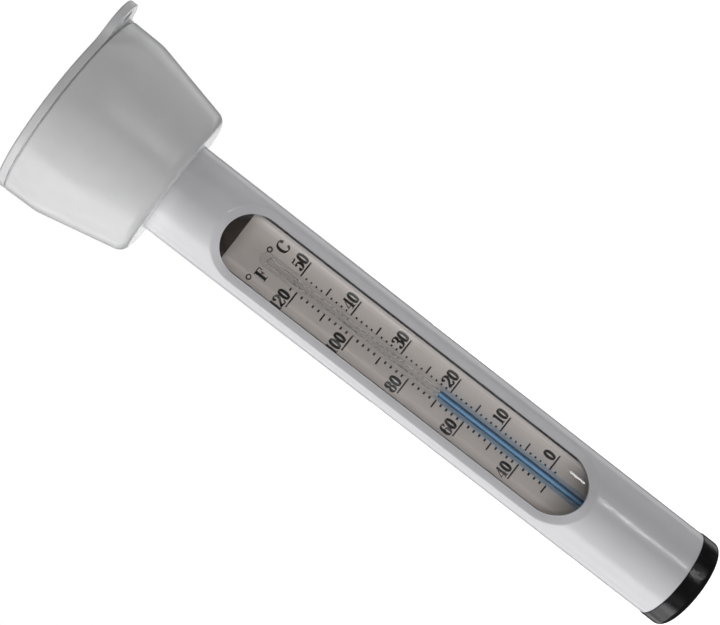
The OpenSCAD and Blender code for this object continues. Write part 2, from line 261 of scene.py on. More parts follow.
class Surface:
    """Points and faces of one piece, gathered grid by grid in millimetres.

    Points closer than merge, in metres, become one, and faces thinner than
    sliver go.
    """

    merge = 2e-7
    sliver = 1e-8

    def __init__(self) -> None:
        """Starts an empty surface."""
        self._points: List[Array] = []
        self._faces: List[List[int]] = []
        self._skins: List[int] = []
        self._count = 0

    def add(self, points: Array, faces: Array, skin: int = 0) -> None:
        """Adds points and the faces between them.

        Args:
            points: rows of x, y, z.
            faces: rows of point numbers within these points.
            skin: which of the piece's finishes the faces take.
        """
        self._points.append(points.reshape(-1, 3))
        self._faces.extend((np.asarray(faces) + self._count).tolist())
        self._skins.extend([skin] * len(faces))
        self._count += len(self._points[-1])

    def grid(self, points: Array, wrap: bool = True, flip: bool = False, skin: int = 0) -> None:
        """Adds a grid of quads, row i to row i + 1 and column j to column j + 1.

        Args:
            points: grid of points, rows by columns by 3.
            wrap: whether the last column joins the first.
            flip: whether the faces turn the other way.
            skin: which of the piece's finishes the faces take.
        """
        rows, columns = points.shape[:2]
        i = np.arange(rows - 1)[:, None]
        j = np.arange(columns if wrap else columns - 1)[None, :]
        k = (j + 1) % columns
        corners = [i * columns + j, i * columns + k, (i + 1) * columns + k, (i + 1) * columns + j]
        faces = np.stack(np.broadcast_arrays(*corners), axis=-1).reshape(-1, 4)
        self.add(points, faces[:, ::-1] if flip else faces, skin)

    def plate(self, outline: Array, height: float, hole: Optional[Array] = None, up: bool = True) -> None:
        """Fills a level outline, less one hole, with triangles.

        Args:
            outline: points (x, y) of the edge.
            height: z of the plate.
            hole: points (x, y) of the hole's edge.
            up: whether the plate faces up.
        """
        loops = [outline] if hole is None else [outline, hole]
        level = [[Vector((x, y, 0.0)) for x, y in loop.tolist()] for loop in loops]
        triangles = np.array(tessellate_polygon(level))
        flat = np.vstack(loops)
        points = np.column_stack([flat, np.full(len(flat), height)])
        a, b, c = (flat[triangles[:, i]] for i in range(3))
        turn = np.sum(np.cross(b - a, c - a))
        self.add(points, triangles if (turn > 0.0) == up else triangles[:, ::-1])

    def block(self, low: Corner, high: Corner, turn: float = 0.0) -> None:
        """Adds a closed block between two corners, turned round the Z axis.

        Args:
            low: lowest corner.
            high: highest corner.
            turn: turn in radians.
        """
        ends = np.array([low, high])
        pick = np.array([[0, 0, 0], [1, 0, 0], [1, 1, 0], [0, 1, 0]])
        pick = np.vstack([pick, pick + [0, 0, 1]])
        points = ends[pick, np.arange(3)]
        c, s = math.cos(turn), math.sin(turn)
        points = points @ np.array([[c, s, 0.0], [-s, c, 0.0], [0.0, 0.0, 1.0]])
        sides = [[0, 1, 5, 4], [1, 2, 6, 5], [2, 3, 7, 6], [3, 0, 4, 7], [3, 2, 1, 0], [4, 5, 6, 7]]
        self.add(points, np.array(sides))

    def build(self, name: str, sharp: float = 35.0, outward: bool = False) -> bpy.types.Object:
        """Makes the mesh object, in metres, with seams and poles merged.

        Args:
            name: name of the piece.
            sharp: angle in degrees above which an edge shows.
            outward: whether normals are worked out again, for one closed skin.

        Returns:
            The new object, linked to the scene.
        """
        mesh = bpy.data.meshes.new(name)
        mesh.from_pydata((np.vstack(self._points) * MM).tolist(), [], self._faces)
        mesh.polygons.foreach_set("material_index", self._skins)
        mesh.validate()
        work = bmesh.new()
        work.from_mesh(mesh)
        bmesh.ops.remove_doubles(work, verts=work.verts, dist=self.merge)
        bmesh.ops.dissolve_degenerate(work, edges=work.edges, dist=self.sliver)
        if outward:
            bmesh.ops.recalc_face_normals(work, faces=work.faces)
        work.to_mesh(mesh)
        work.free()
        mesh.shade_smooth()
        mesh.set_sharp_from_angle(angle=math.radians(sharp))
        piece = bpy.data.objects.new(name, mesh)
        bpy.context.scene.collection.objects.link(piece)
        return piece


# ---- Nodes ---------------------------------------------------------------


class NodeSheet:
    """Adds and joins the nodes of one node tree."""

    def __init__(self, tree: bpy.types.NodeTree) -> None:
        """Works on a tree.

        Args:
            tree: the node tree.
        """
        self.tree = tree

    def fill(self, node: bpy.types.Node, inputs: Dict[Any, Any]) -> bpy.types.Node:
        """Sets a node's inputs, each to a value or to a socket to join, and returns the node."""
        for key, value in inputs.items():
            if isinstance(value, bpy.types.NodeSocket):
                self.tree.links.new(value, node.inputs[key])
            else:
                node.inputs[key].default_value = value
        return node

    def add(self, kind: str, inputs: Optional[Dict[Any, Any]] = None, **settings: Any) -> bpy.types.Node:
        """Adds a node.

        Args:
            kind: the node's type, without its Shader prefix.
            inputs: what each input socket holds, a value or a socket to join.
            settings: the node's own properties.

        Returns:
            The new node.
        """
        prefix = "" if kind.startswith("NodeGroup") else "ShaderNode"
        node = self.tree.nodes.new(prefix + kind)
        for key, value in settings.items():
            setattr(node, key, value)
        return self.fill(node, inputs or {})

    def noise(self, where: Any, scale: Any, detail: float = 2.0, roughness: float = 0.5) -> Any:
        """Adds a noise and returns its grey value, 0 to 1."""
        wanted = {"Vector": where, "Scale": scale, "Detail": detail, "Roughness": roughness}
        return self.add("TexNoise", wanted).outputs[0]

    def spread(self, value: Any, low: float, high: float, to_low: Any = 0.0, to_high: Any = 1.0) -> Any:
        """Maps low..high to to_low..to_high, held at both ends, and returns the result."""
        wanted = {"Value": value, "From Min": low, "From Max": high, "To Min": to_low, "To Max": to_high}
        return self.add("MapRange", wanted, clamp=True).outputs[0]

    def maths(self, operation: str, first: Any, second: Any) -> Any:
        """Joins two values by a sum, product or other operation."""
        return self.add("Math", {0: first, 1: second}, operation=operation).outputs[0]

    def mingle(self, coarse: Any, fine: Any) -> Any:
        """Adds six tenths of a coarse pattern to four tenths of a fine one."""
        return self.maths("ADD", self.maths("MULTIPLY", coarse, 0.6), self.maths("MULTIPLY", fine, 0.4))

    def blend(self, factor: Any, first: Any, second: Any) -> Any:
        """Mixes two colours by a factor and returns the mix."""
        wanted = {0: factor, 6: first, 7: second}
        return self.add("Mix", wanted, data_type="RGBA").outputs[2]

    def stretch(self, where: Any, scale: Corner) -> Any:
        """Scales coordinates about the axis, so that a pattern runs long one way."""
        return self.add("Mapping", {"Vector": where, "Scale": scale}).outputs[0]

    def bump(self, height: Any, relief: float) -> Any:
        """Tilts a surface by a height whose relief is in millimetres, and returns the normal."""
        return self.add("Bump", {"Height": height, "Distance": relief * MM}).outputs[0]

    def ray(self, kind: str) -> Any:
        """Tells whether the ray that meets the surface is of a kind."""
        return self.add("LightPath").outputs[kind]

    def close(self, output: str, factor: Any, first: bpy.types.Node, second: bpy.types.Node) -> None:
        """Ends the tree with a mix of two shaders.

        Args:
            output: name of the tree's output node.
            factor: the second shader's share.
            first: the first shader's node.
            second: the second shader's node.
        """
        mixed = self.add("MixShader", {0: factor, 1: first.outputs[0], 2: second.outputs[0]})
        self.fill(self.tree.nodes[output], {"Surface": mixed.outputs[0]})


def opaque(colour: Colour) -> Tuple[float, float, float, float]:
    """Gives a colour its fourth number."""
    return (*colour, 1.0)


class EffectGroup:
    """A shared shader effect, built once and placed in each material."""

    _built: Dict[str, bpy.types.NodeTree] = {}

    @classmethod
    def tree(
        cls, name: str, inputs: Dict[str, str], outputs: Dict[str, str]
    ) -> Tuple[Any, Any, NodeSheet]:
        """Starts a group's tree.

        Args:
            name: name of the group.
            inputs: socket type of each input.
            outputs: socket type of each output.

        Returns:
            The group's input node, its output node and its sheet.
        """
        tree = bpy.data.node_groups.new(name, "ShaderNodeTree")
        for way, sockets in (("INPUT", inputs), ("OUTPUT", outputs)):
            for label, kind in sockets.items():
                tree.interface.new_socket(name=label, in_out=way, socket_type="NodeSocket" + kind)
        cls._built[name] = tree
        sheet = NodeSheet(tree)
        return sheet.add("NodeGroupInput"), sheet.add("NodeGroupOutput"), sheet

    @classmethod
    def place(cls, sheet: NodeSheet, effect: Callable[[], None], inputs: Dict[str, Any]) -> Any:
        """Places an effect's group in a material, and builds the group the first time.

        Args:
            sheet: the material's sheet.
            effect: the function that builds the group, which has the group's name.
            inputs: what the group's inputs hold.

        Returns:
            The outputs of the group's node.
        """
        if effect.__name__ not in cls._built:
            effect()
        return sheet.add("Group", inputs, node_tree=cls._built[effect.__name__]).outputs


def moulded_grain() -> None:
    """Builds the look of a moulded skin: soft mottling, flow waves and fine grain."""
    inputs = {"Vector": "Vector", "Tone": "Color", "Shade": "Color", "Mottle": "Float", "Grain": "Float"}
    inputs.update({"Gloss": "Float", "Dull": "Float", "Waves": "Float"})
    outputs = {"Colour": "Color", "Roughness": "Float", "Height": "Float"}
    start, end, sheet = EffectGroup.tree("moulded_grain", inputs, outputs)
    given = start.outputs
    where = given["Vector"]
    cloud = sheet.noise(where, given["Mottle"], 4.0, 0.55)
    flow = sheet.noise(sheet.stretch(where, (1.0, 1.0, 0.45)), given["Mottle"], 1.0, 0.4)
    grain = sheet.noise(where, given["Grain"], 3.0, 0.6)
    wanted = {
        "Colour": sheet.blend(sheet.spread(cloud, 0.36, 0.64), given["Tone"], given["Shade"]),
        "Roughness": sheet.spread(sheet.mingle(cloud, grain), 0.38, 0.62, given["Gloss"], given["Dull"]),
        "Height": sheet.maths("ADD", sheet.maths("MULTIPLY", flow, given["Waves"]), grain),
    }
    sheet.fill(end, wanted)


def handling_marks() -> None:
    """Builds sparse fine scratches and rubs, as a mask from 0 to 1."""
    inputs = {"Vector": "Vector", "Amount": "Float"}
    start, end, sheet = EffectGroup.tree("handling_marks", inputs, {"Mask": "Float"})
    where = start.outputs["Vector"]
    warp = sheet.add("VectorMath", {0: where, 1: (1.7, -0.6, 0.5), 2: where}, operation="MULTIPLY_ADD")
    fine = sheet.noise(sheet.stretch(warp.outputs[0], (1.0, 1.0, 0.08)), 1900.0, 2.0, 0.5)
    lines = sheet.spread(fine, 0.66, 0.72)
    rubs = sheet.spread(sheet.noise(where, 140.0, 3.0, 0.6), 0.5, 0.66)
    mask = sheet.maths("MULTIPLY", sheet.maths("MULTIPLY", lines, rubs), start.outputs["Amount"])
    sheet.fill(end, {"Mask": mask})


def drawn_lines() -> None:
    """Builds the faint long lines that run along drawn tube, glass, wire and turned steel."""
    inputs = {"Vector": "Vector", "Count": "Float", "Stretch": "Vector"}
    start, end, sheet = EffectGroup.tree("drawn_lines", inputs, {"Height": "Float", "Mask": "Float"})
    given = start.outputs
    long_way = sheet.add("VectorMath", {0: given["Vector"], 1: given["Stretch"]}, operation="MULTIPLY")
    lines = sheet.noise(long_way.outputs[0], given["Count"], 3.0, 0.6)
    sheet.fill(end, {"Height": lines, "Mask": sheet.spread(lines, 0.4, 0.62)})


def begin_material(name: str) -> Tuple[bpy.types.Material, NodeSheet, bpy.types.Node, Any]:
    """Starts a material.

    Args:
        name: name of the material.

    Returns:
        The material, its sheet, its Principled node and its object coordinates.
    """
    material = bpy.data.materials.new(name)
    material.use_nodes = True
    sheet = NodeSheet(material.node_tree)
    shader = material.node_tree.nodes["Principled BSDF"]
    return material, sheet, shader, sheet.add("TexCoord").outputs["Object"]


# ---- Finishes --------------------------------------------------------------


@dataclass(frozen=True)
class Moulded:
    """A moulded plastic or rubber with mottling, flow waves, grain and light marks."""

    name: str
    tone: Colour
    shade: Colour
    gloss: float
    dull: float
    mottle: float
    waves: float
    relief: float
    marks: float
    grain: float = 5200.0
    mark_tone: Colour = (0.9, 0.9, 0.9)
    mark_dulls: float = 0.15

    def build(self) -> bpy.types.Material:
        """Builds the material and returns it."""
        material, sheet, shader, where = begin_material(self.name)
        wanted = {
            "Vector": where,
            "Tone": opaque(self.tone),
            "Shade": opaque(self.shade),
            "Mottle": self.mottle,
            "Grain": self.grain,
            "Gloss": self.gloss,
            "Dull": self.dull,
            "Waves": self.waves,
        }
        skin = EffectGroup.place(sheet, moulded_grain, wanted)
        marks = EffectGroup.place(sheet, handling_marks, {"Vector": where, "Amount": self.marks})["Mask"]
        duller = sheet.maths("MULTIPLY", marks, self.mark_dulls)
        look = {
            "Base Color": sheet.blend(marks, skin["Colour"], opaque(self.mark_tone)),
            "Roughness": sheet.maths("ADD", skin["Roughness"], duller),
            "Normal": sheet.bump(skin["Height"], self.relief),
        }
        sheet.fill(shader, look)
        return material


@dataclass(frozen=True)
class ClearWall:
    """A clear drawn wall, of plastic or glass, that lets light through to what it covers."""

    name: str
    tint: Colour
    ior: float
    roughness: float
    lines: float
    relief: float
    shadow: Colour = (0.97, 0.97, 0.97)
    stretch: Corner = (1.0, 1.0, 0.02)

    def build(self) -> bpy.types.Material:
        """Builds the material and returns it."""
        material, sheet, shader, where = begin_material(self.name)
        wanted = {"Vector": where, "Count": self.lines, "Stretch": self.stretch}
        drawn = EffectGroup.place(sheet, drawn_lines, wanted)
        look = {
            "Base Color": sheet.blend(drawn["Mask"], opaque(self.tint), WHITE),
            "Roughness": sheet.spread(drawn["Height"], 0.3, 0.7, self.roughness, 2.0 * self.roughness),
            "Normal": sheet.bump(drawn["Height"], self.relief),
            "Transmission Weight": 1.0,
            "IOR": self.ior,
        }
        sheet.fill(shader, look)
        clear = sheet.add("BsdfTransparent", {"Color": opaque(self.shadow)})
        sheet.close("Material Output", sheet.ray("Is Shadow Ray"), shader, clear)
        return material


@dataclass(frozen=True)
class PrintedStock:
    """A printed card or its ink: a satin skin with fibres and a fine tooth."""

    name: str
    tone: Colour
    shade: Colour
    roughness: float
    tooth: float
    relief: float
    fibres: float = 160.0

    def build(self) -> bpy.types.Material:
        """Builds the material and returns it."""
        material, sheet, shader, where = begin_material(self.name)
        cloud = sheet.noise(sheet.stretch(where, (1.0, 1.0, 0.35)), self.fibres, 4.0, 0.6)
        tooth = sheet.noise(where, self.tooth, 3.0, 0.65)
        share = sheet.spread(sheet.mingle(cloud, tooth), 0.36, 0.64)
        look = {
            "Base Color": sheet.blend(share, opaque(self.tone), opaque(self.shade)),
            "Roughness": sheet.spread(tooth, 0.3, 0.7, self.roughness - 0.06, self.roughness + 0.08),
            "Normal": sheet.bump(tooth, self.relief),
        }
        sheet.fill(shader, look)
        return material


@dataclass(frozen=True)
class Spirit:
    """Dyed blue spirit whose colour carries painted shade, darker at the flanks of its thread, and a
    painted highlight, paler along its middle.
    """

    name: str
    # The dye's blue at the thread's flanks, darkened by painted shade.
    deep: Colour
    # The dye's blue along the thread's middle, paled by a painted highlight.
    light: Colour
    shadow: Colour
    middle: float
    flank: float
    roughness: float = 0.03
    ripple: float = 0.05
    clearness: float = 0.4
    ior: float = 1.36

    def build(self) -> bpy.types.Material:
        """Builds the material and returns it.

        The colour goes from a painted highlight along the thread's middle to the
        dye darkened by painted shade at its flanks, with the distance |x - middle|,
        from 0.15 to 0.85 of the way to the flank.
        """
        material, sheet, shader, where = begin_material(self.name)
        cloud = sheet.noise(sheet.stretch(where, (1.0, 1.0, 0.2)), 420.0, 3.0, 0.5)
        across = sheet.add("SeparateXYZ", {0: where}).outputs[0]
        aside = sheet.maths("ABSOLUTE", sheet.maths("SUBTRACT", across, self.middle * MM), 0.0)
        ripple = sheet.spread(cloud, 0.3, 0.7, -self.ripple * MM, self.ripple * MM)
        near, far = 0.15 * self.flank * MM, 0.85 * self.flank * MM
        # Painted highlight along the middle, fading to painted shade at the flanks.
        share = sheet.spread(sheet.maths("ADD", aside, ripple), near, far)
        look = {
            "Base Color": sheet.blend(share, opaque(self.light), opaque(self.deep)),
            "Roughness": sheet.spread(cloud, 0.3, 0.7, self.roughness, self.roughness + 0.05),
            "Transmission Weight": self.clearness,
            "IOR": self.ior,
        }
        sheet.fill(shader, look)
        clear = sheet.add("BsdfTransparent", {"Color": opaque(self.shadow)})
        sheet.close("Material Output", sheet.ray("Is Shadow Ray"), shader, clear)
        return material


@dataclass(frozen=True)
class BareSteel:
    """Bare steel with turning or drawing lines and dull patches."""

    name: str
    tone: Colour
    shade: Colour
    roughness: float
    lines: float
    stretch: Corner
    relief: float = 0.02

    def build(self) -> bpy.types.Material:
        """Builds the material and returns it."""
        material, sheet, shader, where = begin_material(self.name)
        wanted = {"Vector": where, "Count": self.lines, "Stretch": self.stretch}
        drawn = EffectGroup.place(sheet, drawn_lines, wanted)
        stain = sheet.spread(sheet.noise(where, 260.0, 4.0, 0.6), 0.45, 0.7)
        look = {
            "Base Color": sheet.blend(stain, opaque(self.tone), opaque(self.shade)),
            "Roughness": sheet.spread(stain, 0.0, 1.0, self.roughness, self.roughness + 0.2),
            "Normal": sheet.bump(drawn["Height"], self.relief),
            "Metallic": 1.0,
        }
        sheet.fill(shader, look)
        return material


WHITE_FLOAT = Moulded(
    "white_float_plastic", (0.80, 0.80, 0.805), (0.775, 0.775, 0.785), gloss=0.13, dull=0.23,
    mottle=120.0, waves=8.0, relief=0.03, marks=0.35,
)
WHITE_CASING = Moulded(
    "white_casing_plastic", (0.795, 0.787, 0.81), (0.775, 0.77, 0.795), gloss=0.14, dull=0.21,
    mottle=90.0, waves=5.0, relief=0.014, marks=0.35,
)
BLACK_CAP = Moulded(
    "black_cap_plastic", (0.006, 0.006, 0.007), (0.010, 0.010, 0.011), gloss=0.14, dull=0.24,
    mottle=260.0, waves=6.0, relief=0.02, marks=0.5, mark_tone=(0.09, 0.09, 0.09),
)
BUNG_RUBBER = Moulded(
    "bung_rubber", (0.040, 0.030, 0.024), (0.028, 0.022, 0.018), gloss=0.5, dull=0.7, mottle=300.0,
    grain=4200.0, waves=1.0, relief=0.06, marks=0.15, mark_tone=(0.12, 0.11, 0.10),
)
SEAL_RUBBER = Moulded(
    "seal_rubber", (0.022, 0.022, 0.022), (0.014, 0.014, 0.014), gloss=0.4, dull=0.55, mottle=500.0,
    grain=6000.0, waves=1.0, relief=0.03, marks=0.1, mark_tone=(0.1, 0.1, 0.1),
)
CLEAR_SLEEVE = ClearWall("clear_sleeve_plastic", (0.97, 0.98, 0.98), 1.49, 0.015, 420.0, 0.003)
STEM_GLASS = ClearWall("stem_glass", (0.985, 0.99, 0.985), 1.50, 0.008, 700.0, 0.0004, (0.985, 0.99, 0.99))
BORE_WALL = ClearWall("bore_wall", (0.99, 0.99, 0.99), 1.05, 0.01, 500.0, 0.0002, (0.99, 0.99, 0.99))
CARD_STOCK = PrintedStock("warm_grey_card", (0.79, 0.72, 0.675), (0.74, 0.675, 0.635), 0.42, 3200.0, 0.006)
SCALE_INK = PrintedStock("scale_ink", (0.016, 0.014, 0.013), (0.030, 0.027, 0.025), 0.45, 5200.0, 0.004)
# The first colour is the dye with painted flank shade, and the second is the dye with a painted middle
# highlight.
BLUE_SPIRIT = Spirit(
    "blue_spirit", (0.03, 0.095, 0.19), (0.34, 0.67, 1.0), (0.5, 0.75, 0.95), middle=-0.33, flank=0.5
)
SLUG_STEEL = BareSteel("slug_steel", (0.56, 0.57, 0.58), (0.40, 0.39, 0.37), 0.28, 900.0, (0.1, 0.1, 6.0))
WIRE_STEEL = BareSteel("wire_steel", (0.62, 0.62, 0.63), (0.50, 0.49, 0.48), 0.22, 3000.0, (1.0, 0.2, 1.0))


def dress(piece: bpy.types.Object, *materials: bpy.types.Material) -> None:
    """Gives a piece its finishes, in the order of its skins, in place of any it has."""
    piece.data.materials.clear()
    for material in materials:
        piece.data.materials.append(material)


def fit(piece: bpy.types.Object, body: Body, nodes: Sequence[str] = ()) -> None:
    """Hides the frame's nodes that a finished piece stands for and rides the piece on its body.

    Args:
        piece: the finished piece.
        body: the body that it rides on.
        nodes: the frame's nodes that it stands for, which are hidden.
    """
    if nodes:
        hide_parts(*nodes)
    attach(piece, body.value)
    log.info("%s: %d faces, rides on %s", piece.name, len(piece.data.polygons), body.value)


def dress_node(frame: Dict[str, Any], node: str, material: bpy.types.Material) -> None:
    """Gives one of the frame's own nodes its finish."""
    piece = frame["nodes"][node]
    dress(piece, material)
    log.info("%s: frame node, %s", node, material.name)


# ---- Float head ------------------------------------------------------------


@dataclass
class FloatHead:
    """The hollow float and its lid with the tether tab."""

    foot: float = 165.0
    rim: float = 197.7
    knee: float = 188.4
    rim_r: float = 26.15
    knee_r: float = 25.95
    taper: float = 12.5
    shoulder: float = 3.4
    wall: float = 1.8
    ledge: float = 0.9
    socket_r: float = 12.65
    socket_wall: float = 1.9
    socket_top: float = 179.0
    roof: float = 1.6
    lid_foot: float = 198.0
    lid_top: float = 200.2
    tab_centre: float = 25.5
    tab_end_r: float = 7.5
    tab_fillet_r: float = 6.5
    tab_turn: float = math.radians(-32.0)
    eyelet_at: float = 29.3
    eyelet_r: float = 2.0
    top_edge: float = 0.55
    low_edge: float = 0.3
    edge_row: float = 1.2
    eyelet_land: float = 0.7
    ribs: int = 6
    rib_half: float = 0.6
    rib_root: float = 0.9
    rib_reach: float = 3.3
    rib_low: float = 1.0
    rib_high: float = 9.0
    ring_gap: float = 0.15
    ring_wall: float = 1.4
    ring_drop: float = 3.2
    ring_root: float = 0.4
    lid_rib_root: float = 0.3

    def shell(self) -> bpy.types.Object:
        """Builds the float's shell, a lathe with a blind socket and ribs.

        Returns:
            The shell.
        """
        slope = math.tan(math.radians(self.taper))
        inner_knee = self.knee_r - self.wall / math.cos(math.radians(self.taper))
        floor = self.foot + self.wall
        bore = self.rim_r - self.wall
        socket = self.socket_r + self.socket_wall
        corners = [
            (0.0, self.socket_top, 0.0),
            (self.socket_r, self.socket_top, 0.3),
            (self.socket_r, self.foot, 0.35),
            (self.knee_r - slope * (self.knee - self.foot), self.foot, self.shoulder),
            (self.knee_r, self.knee, 16.0),
            (self.rim_r, self.rim, 0.4),
            (bore + self.ledge, self.rim, 0.0),
            (bore + self.ledge, self.lid_foot, 0.0),
            (bore, self.lid_foot, 0.2),
            (inner_knee, self.knee, 12.0),
            (inner_knee - slope * (self.knee - floor), floor, self.shoulder - self.wall),
            (socket, floor, 0.5),
            (socket, self.socket_top + self.roof, 0.4),
            (0.0, self.socket_top + self.roof, 0.0),
        ]
        surface = Surface()
        surface.grid(lathe(rounded_profile(corners, 12), 256))
        for turn in np.arange(self.ribs) * 2.0 * math.pi / self.ribs:
            self._rib(surface, float(turn), socket, floor)
        return surface.build("float_head_shell")

    def _rib(self, surface: Surface, turn: float, socket: float, floor: float) -> None:
        """Adds one wedge rib between the socket and the floor.

        Args:
            surface: the shell's surface.
            turn: the rib's turn round the axis, in radians.
            socket: outside radius of the socket.
            floor: height of the float's floor.
        """
        inner, outer, root = socket - self.rib_root, socket + self.rib_reach, floor - self.rib_root
        side = np.array(
            [[inner, root], [outer, root], [outer, floor + self.rib_low], [inner, floor + self.rib_high]]
        )
        ends = np.array([-self.rib_half, self.rib_half])[:, None]
        r, z = side[None, :, 0] + 0.0 * ends, side[None, :, 1] + 0.0 * ends
        c, s = math.cos(turn), math.sin(turn)
        points = np.stack([r * c - ends * s, r * s + ends * c, z], axis=-1).reshape(-1, 3)
        faces = [[0, 1, 2, 3], [7, 6, 5, 4], [0, 4, 5, 1], [1, 5, 6, 2], [2, 6, 7, 3], [3, 7, 4, 0]]
        surface.add(points, np.array(faces))

    def _outline(self) -> Tuple[Array, Array]:
        """Traces the lid's edge: disc, fillet, tab end and fillet, as four arcs.

        Each arc is its centre plus its radius times (cos a, sin a), and the
        fillets run backwards because they are hollow.

        Returns:
            Points (x, y) of the edge and the outward normal at each.
        """
        reach, gap = self.rim_r + self.tab_fillet_r, self.tab_end_r + self.tab_fillet_r
        swing = math.acos((reach**2 + self.tab_centre**2 - gap**2) / (2.0 * reach * self.tab_centre))
        fillet_at = reach * np.array([math.cos(swing), math.sin(swing)])
        tip = math.atan2(fillet_at[1], fillet_at[0] - self.tab_centre)
        arcs = [
            ((0.0, 0.0), self.rim_r, swing, 2.0 * math.pi - swing, 300, 1.0),
            (fillet_at * [1, -1], self.tab_fillet_r, math.pi - swing, math.pi - tip, 24, -1.0),
            ((self.tab_centre, 0.0), self.tab_end_r, -tip, tip, 64, 1.0),
            (fillet_at, self.tab_fillet_r, math.pi + tip, math.pi + swing, 24, -1.0),
        ]
        points, normals = [], []
        for centre, radius, start, stop, steps, side in arcs:
            a = np.linspace(start, stop, steps, endpoint=False)
            spoke = np.column_stack([np.cos(a), np.sin(a)])
            points.append(np.array(centre) + radius * spoke)
            normals.append(side * spoke)
        c, s = math.cos(self.tab_turn), math.sin(self.tab_turn)
        turn = np.array([[c, s], [-s, c]])
        return np.vstack(points) @ turn, np.vstack(normals) @ turn

    def lid(self) -> bpy.types.Object:
        """Builds the lid: rounded edge rows carried round the outline, two plates and the eyelet.

        Returns:
            The lid.
        """
        edge, normal = self._outline()
        section = rounded_profile(
            [
                (-self.edge_row, self.lid_foot, 0.0),
                (0.0, self.lid_foot, self.low_edge),
                (0.0, self.lid_top, self.top_edge),
                (-self.edge_row, self.lid_top, 0.0),
            ],
            8,
        )
        rows = edge[None] + section[:, :1, None] * normal[None]
        height = np.broadcast_to(section[:, 1:, None], rows.shape[:2] + (1,))
        surface = Surface()
        surface.grid(np.concatenate([rows, height], axis=-1))
        c, s = math.cos(self.tab_turn), math.sin(self.tab_turn)
        eyelet = (self.eyelet_at * c, self.eyelet_at * s)
        hole = rounded_profile(
            [
                (self.eyelet_r + self.eyelet_land, self.lid_top, 0.0),
                (self.eyelet_r, self.lid_top, 0.35),
                (self.eyelet_r, self.lid_foot, 0.25),
                (self.eyelet_r + self.eyelet_land, self.lid_foot, 0.0),
            ],
            6,
        )
        ring = lathe(hole, 72, eyelet)
        surface.grid(ring)
        surface.plate(rows[-1], self.lid_top, ring[0, :, :2], up=True)
        surface.plate(rows[0], self.lid_foot, ring[-1, :, :2], up=False)
        self._underside(surface)
        return surface.build("float_head_lid")

    def _underside(self, surface: Surface) -> None:
        """Adds the ring that centres the lid in the float, and its three ribs."""
        outer = self.rim_r - self.wall - self.ring_gap
        inner = outer - self.ring_wall
        root, end = self.lid_foot + self.ring_root, self.lid_foot - self.ring_drop
        ring = [
            (outer, root, 0.0),
            (inner, root, 0.0),
            (inner, end, 0.2),
            (outer, end, 0.3),
            (outer, root, 0.0),
        ]
        surface.grid(lathe(rounded_profile(ring, 4), 160))
        for turn in np.radians([0.0, 60.0, 120.0]):
            reach = outer - 0.5 * self.ring_wall
            low = (-reach, -self.rib_half, self.lid_foot - 0.5 * self.ring_drop)
            high = (reach, self.rib_half, self.lid_foot + self.lid_rib_root)
            surface.block(low, high, float(turn))

    def build(self) -> None:
        """Builds, dresses and fits the float head."""
        white = WHITE_FLOAT.build()
        for piece, node in ((self.shell(), "float_shell"), (self.lid(), "float_lid")):
            dress(piece, white)
            fit(piece, Body.CASING, [node])


# ---- Casing ----------------------------------------------------------------


